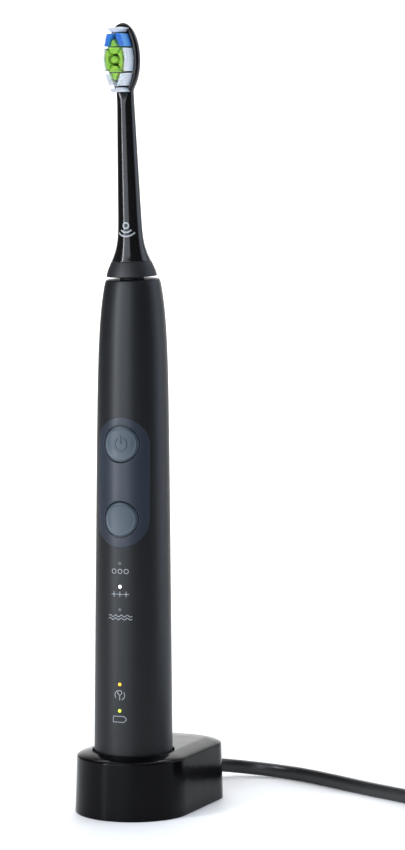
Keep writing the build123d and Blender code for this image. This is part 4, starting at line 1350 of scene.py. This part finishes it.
board_green = plain_plastic("fibreglass_board", "#1c5a34", 0.35)
chip_epoxy = plain_plastic("moulded_epoxy_chip", "#1a1a1c", 0.55)
ferrite_ceramic = plain_plastic("sintered_ferrite", "#2b2b2e", 0.6)
former_pbt = plain_plastic("bobbin_polyester", "#d8d2c4", 0.45)
copper = copper_winding()
steel = metal("pressed_steel", "#a2a4a6", 0.34)
CAD_FINISHES = {
    "charger_base_plate": plain_plastic("matt_abs_base", "#151516", 0.5),
    "ferrite_core": ferrite_ceramic,
    "charger_transformer": ferrite_ceramic,
    "board_inductor": ferrite_ceramic,
    "primary_coil_former": former_pbt,
    "receiving_coil_former": former_pbt,
    "primary_coil": copper,
    "receiving_coil": copper,
    "stator_coil": copper,
    "charger_board": board_green,
    "circuit_board": board_green,
    "id_tag": board_green,
    "charger_capacitor": plain_plastic("capacitor_sleeve", "#1c2430", 0.3),
    "charger_chip": chip_epoxy,
    "controller_chip": chip_epoxy,
    "charge_chip": chip_epoxy,
    "tact_switches": plain_plastic("switch_nylon", "#232325", 0.5),
    "power_switch_plunger": plain_plastic("plunger_nylon", "#b03a2e", 0.4),
    "mode_switch_plunger": plain_plastic("plunger_nylon_lower", "#b03a2e", 0.4),
    "indicator_lamps": plain_plastic("lamp_epoxy", "#f2efe2", 0.3),
    "battery_cell": plain_plastic("shrink_sleeve", "#2f6fb4", 0.3),
    "cell_tabs": metal("nickel_strip", "#b9b7b0", 0.3),
    "chassis": plain_plastic("chassis_abs", "#c9c9c4", 0.5),
    "end_cap": plain_plastic("end_cap_abs", "#1b1b1d", 0.42),
    "end_cap_seal": MATERIALS["rubber"],
    "drive_frame": steel,
    "magnet_carrier": steel,
    "stator_core": metal("laminated_core_steel", "#77797c", 0.45),
    "upper_bearing": plain_plastic("acetal_bush", "#e6e1d2", 0.3),
    "lower_bearing": plain_plastic("acetal_bush_lower", "#e6e1d2", 0.3),
    "centring_spring": metal("spring_wire", "#9a9c9f", 0.25),
    "drive_magnets": metal("nickel_plated_magnet", "#b5b7ba", 0.18),
    "shaft_clip": plain_plastic("clip_acetal", "#dedbd0", 0.35),
}
for node_name, finish in CAD_FINISHES.items():
    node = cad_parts[node_name]
    node.data.materials.clear()
    node.data.materials.append(finish)

# ---------------------------------------------------------------- studio


ROOM_LIGHT = 0.16


def make_floor():
    """Paper sweep: flat under the object, rising far behind it as a quarter round."""
    half, front, flat_end, bend, top = 3000.0, -2500.0, 900.0, 1200.0, 4000.0
    turn = np.linspace(0, math.pi / 2, 24)[1:]
    curve = [(flat_end + bend * math.sin(a), bend * (1 - math.cos(a))) for a in turn]
    profile = np.array([(front, 0.0), (flat_end, 0.0)] + curve + [(flat_end + bend, top)])
    grid = np.stack([
        np.stack([np.full(len(profile), side * half), profile[:, 0], profile[:, 1]], -1) for side in (-1, 1)
    ], 1)
    floor = grid_piece("studio_floor", grid, wrap_columns=False)
    floor.data.materials.append(floor_paper())
    for polygon in floor.data.polygons:
        if polygon.normal.z < -0.1 or (abs(polygon.normal.z) < 0.1 and polygon.normal.y > 0):
            polygon.flip()


def area_light(name, place, target, size, power, colour="#ffffff"):
    """A rectangular soft box, in millimetres, aimed at a point."""
    data = bpy.data.lights.new(name, "AREA")
    data.shape = "RECTANGLE"
    data.size, data.size_y = size[0] * MM, size[1] * MM
    data.energy = power
    data.color = linear(colour)[:3]
    light = bpy.data.objects.new(name, data)
    light.location = Vector(place) * MM
    light.rotation_mode = "QUATERNION"
    light.rotation_quaternion = (Vector(target) - Vector(place)).to_track_quat("-Z", "Y")
    bpy.context.scene.collection.objects.link(light)


def camera_frame(x, y, z):
    """A place given across, behind and above the object as the camera sees it, in the frame of the shelf."""
    c, s = math.cos(CAMERA_AZIMUTH), math.sin(CAMERA_AZIMUTH)
    return (x * c - y * s, x * s + y * c, z)


def studio_world():
    """The room around the paper: it gives a weak even light, and looks white to the eye."""
    world = bpy.data.worlds.new("studio")
    world.use_nodes = True
    tree = world.node_tree
    seen = add(tree, "ShaderNodeLightPath").outputs["Is Camera Ray"]
    strength = add(tree, "ShaderNodeMapRange", Value=seen, To_Min=ROOM_LIGHT, To_Max=1.0)
    tree.links.new(strength.outputs["Result"], tree.nodes["Background"].inputs["Strength"])
    tree.nodes["Background"].inputs["Color"].default_value = linear("#ffffff")
    return world


def make_lights():
    """A tall soft box in front left, a narrow strip beside it, a wide strip at the right, a top light,
    and a soft box that brightens the sweep behind."""
    middle = (0, 0, 130)
    area_light("box_front_left", camera_frame(-400, -620, 260), middle, (680, 900), 8.6, "#ecf4ff")
    area_light("strip_left", camera_frame(-640, -400, 260), middle, (60, 900), 6.0, "#f4f8ff")
    area_light("strip_right", camera_frame(620, 90, 260), middle, (420, 900), 3.2, "#dce9ff")
    area_light("top", camera_frame(0, 100, 1000), (0, 0, 0), (900, 900), 4.0)
    area_light("sweep_light", camera_frame(0, 1100, 1500), camera_frame(0, 2200, 300), (1600, 600), 34)
    bpy.context.scene.world = studio_world()
    bpy.context.scene.view_settings.view_transform = "Standard"


make_floor()
make_lights()
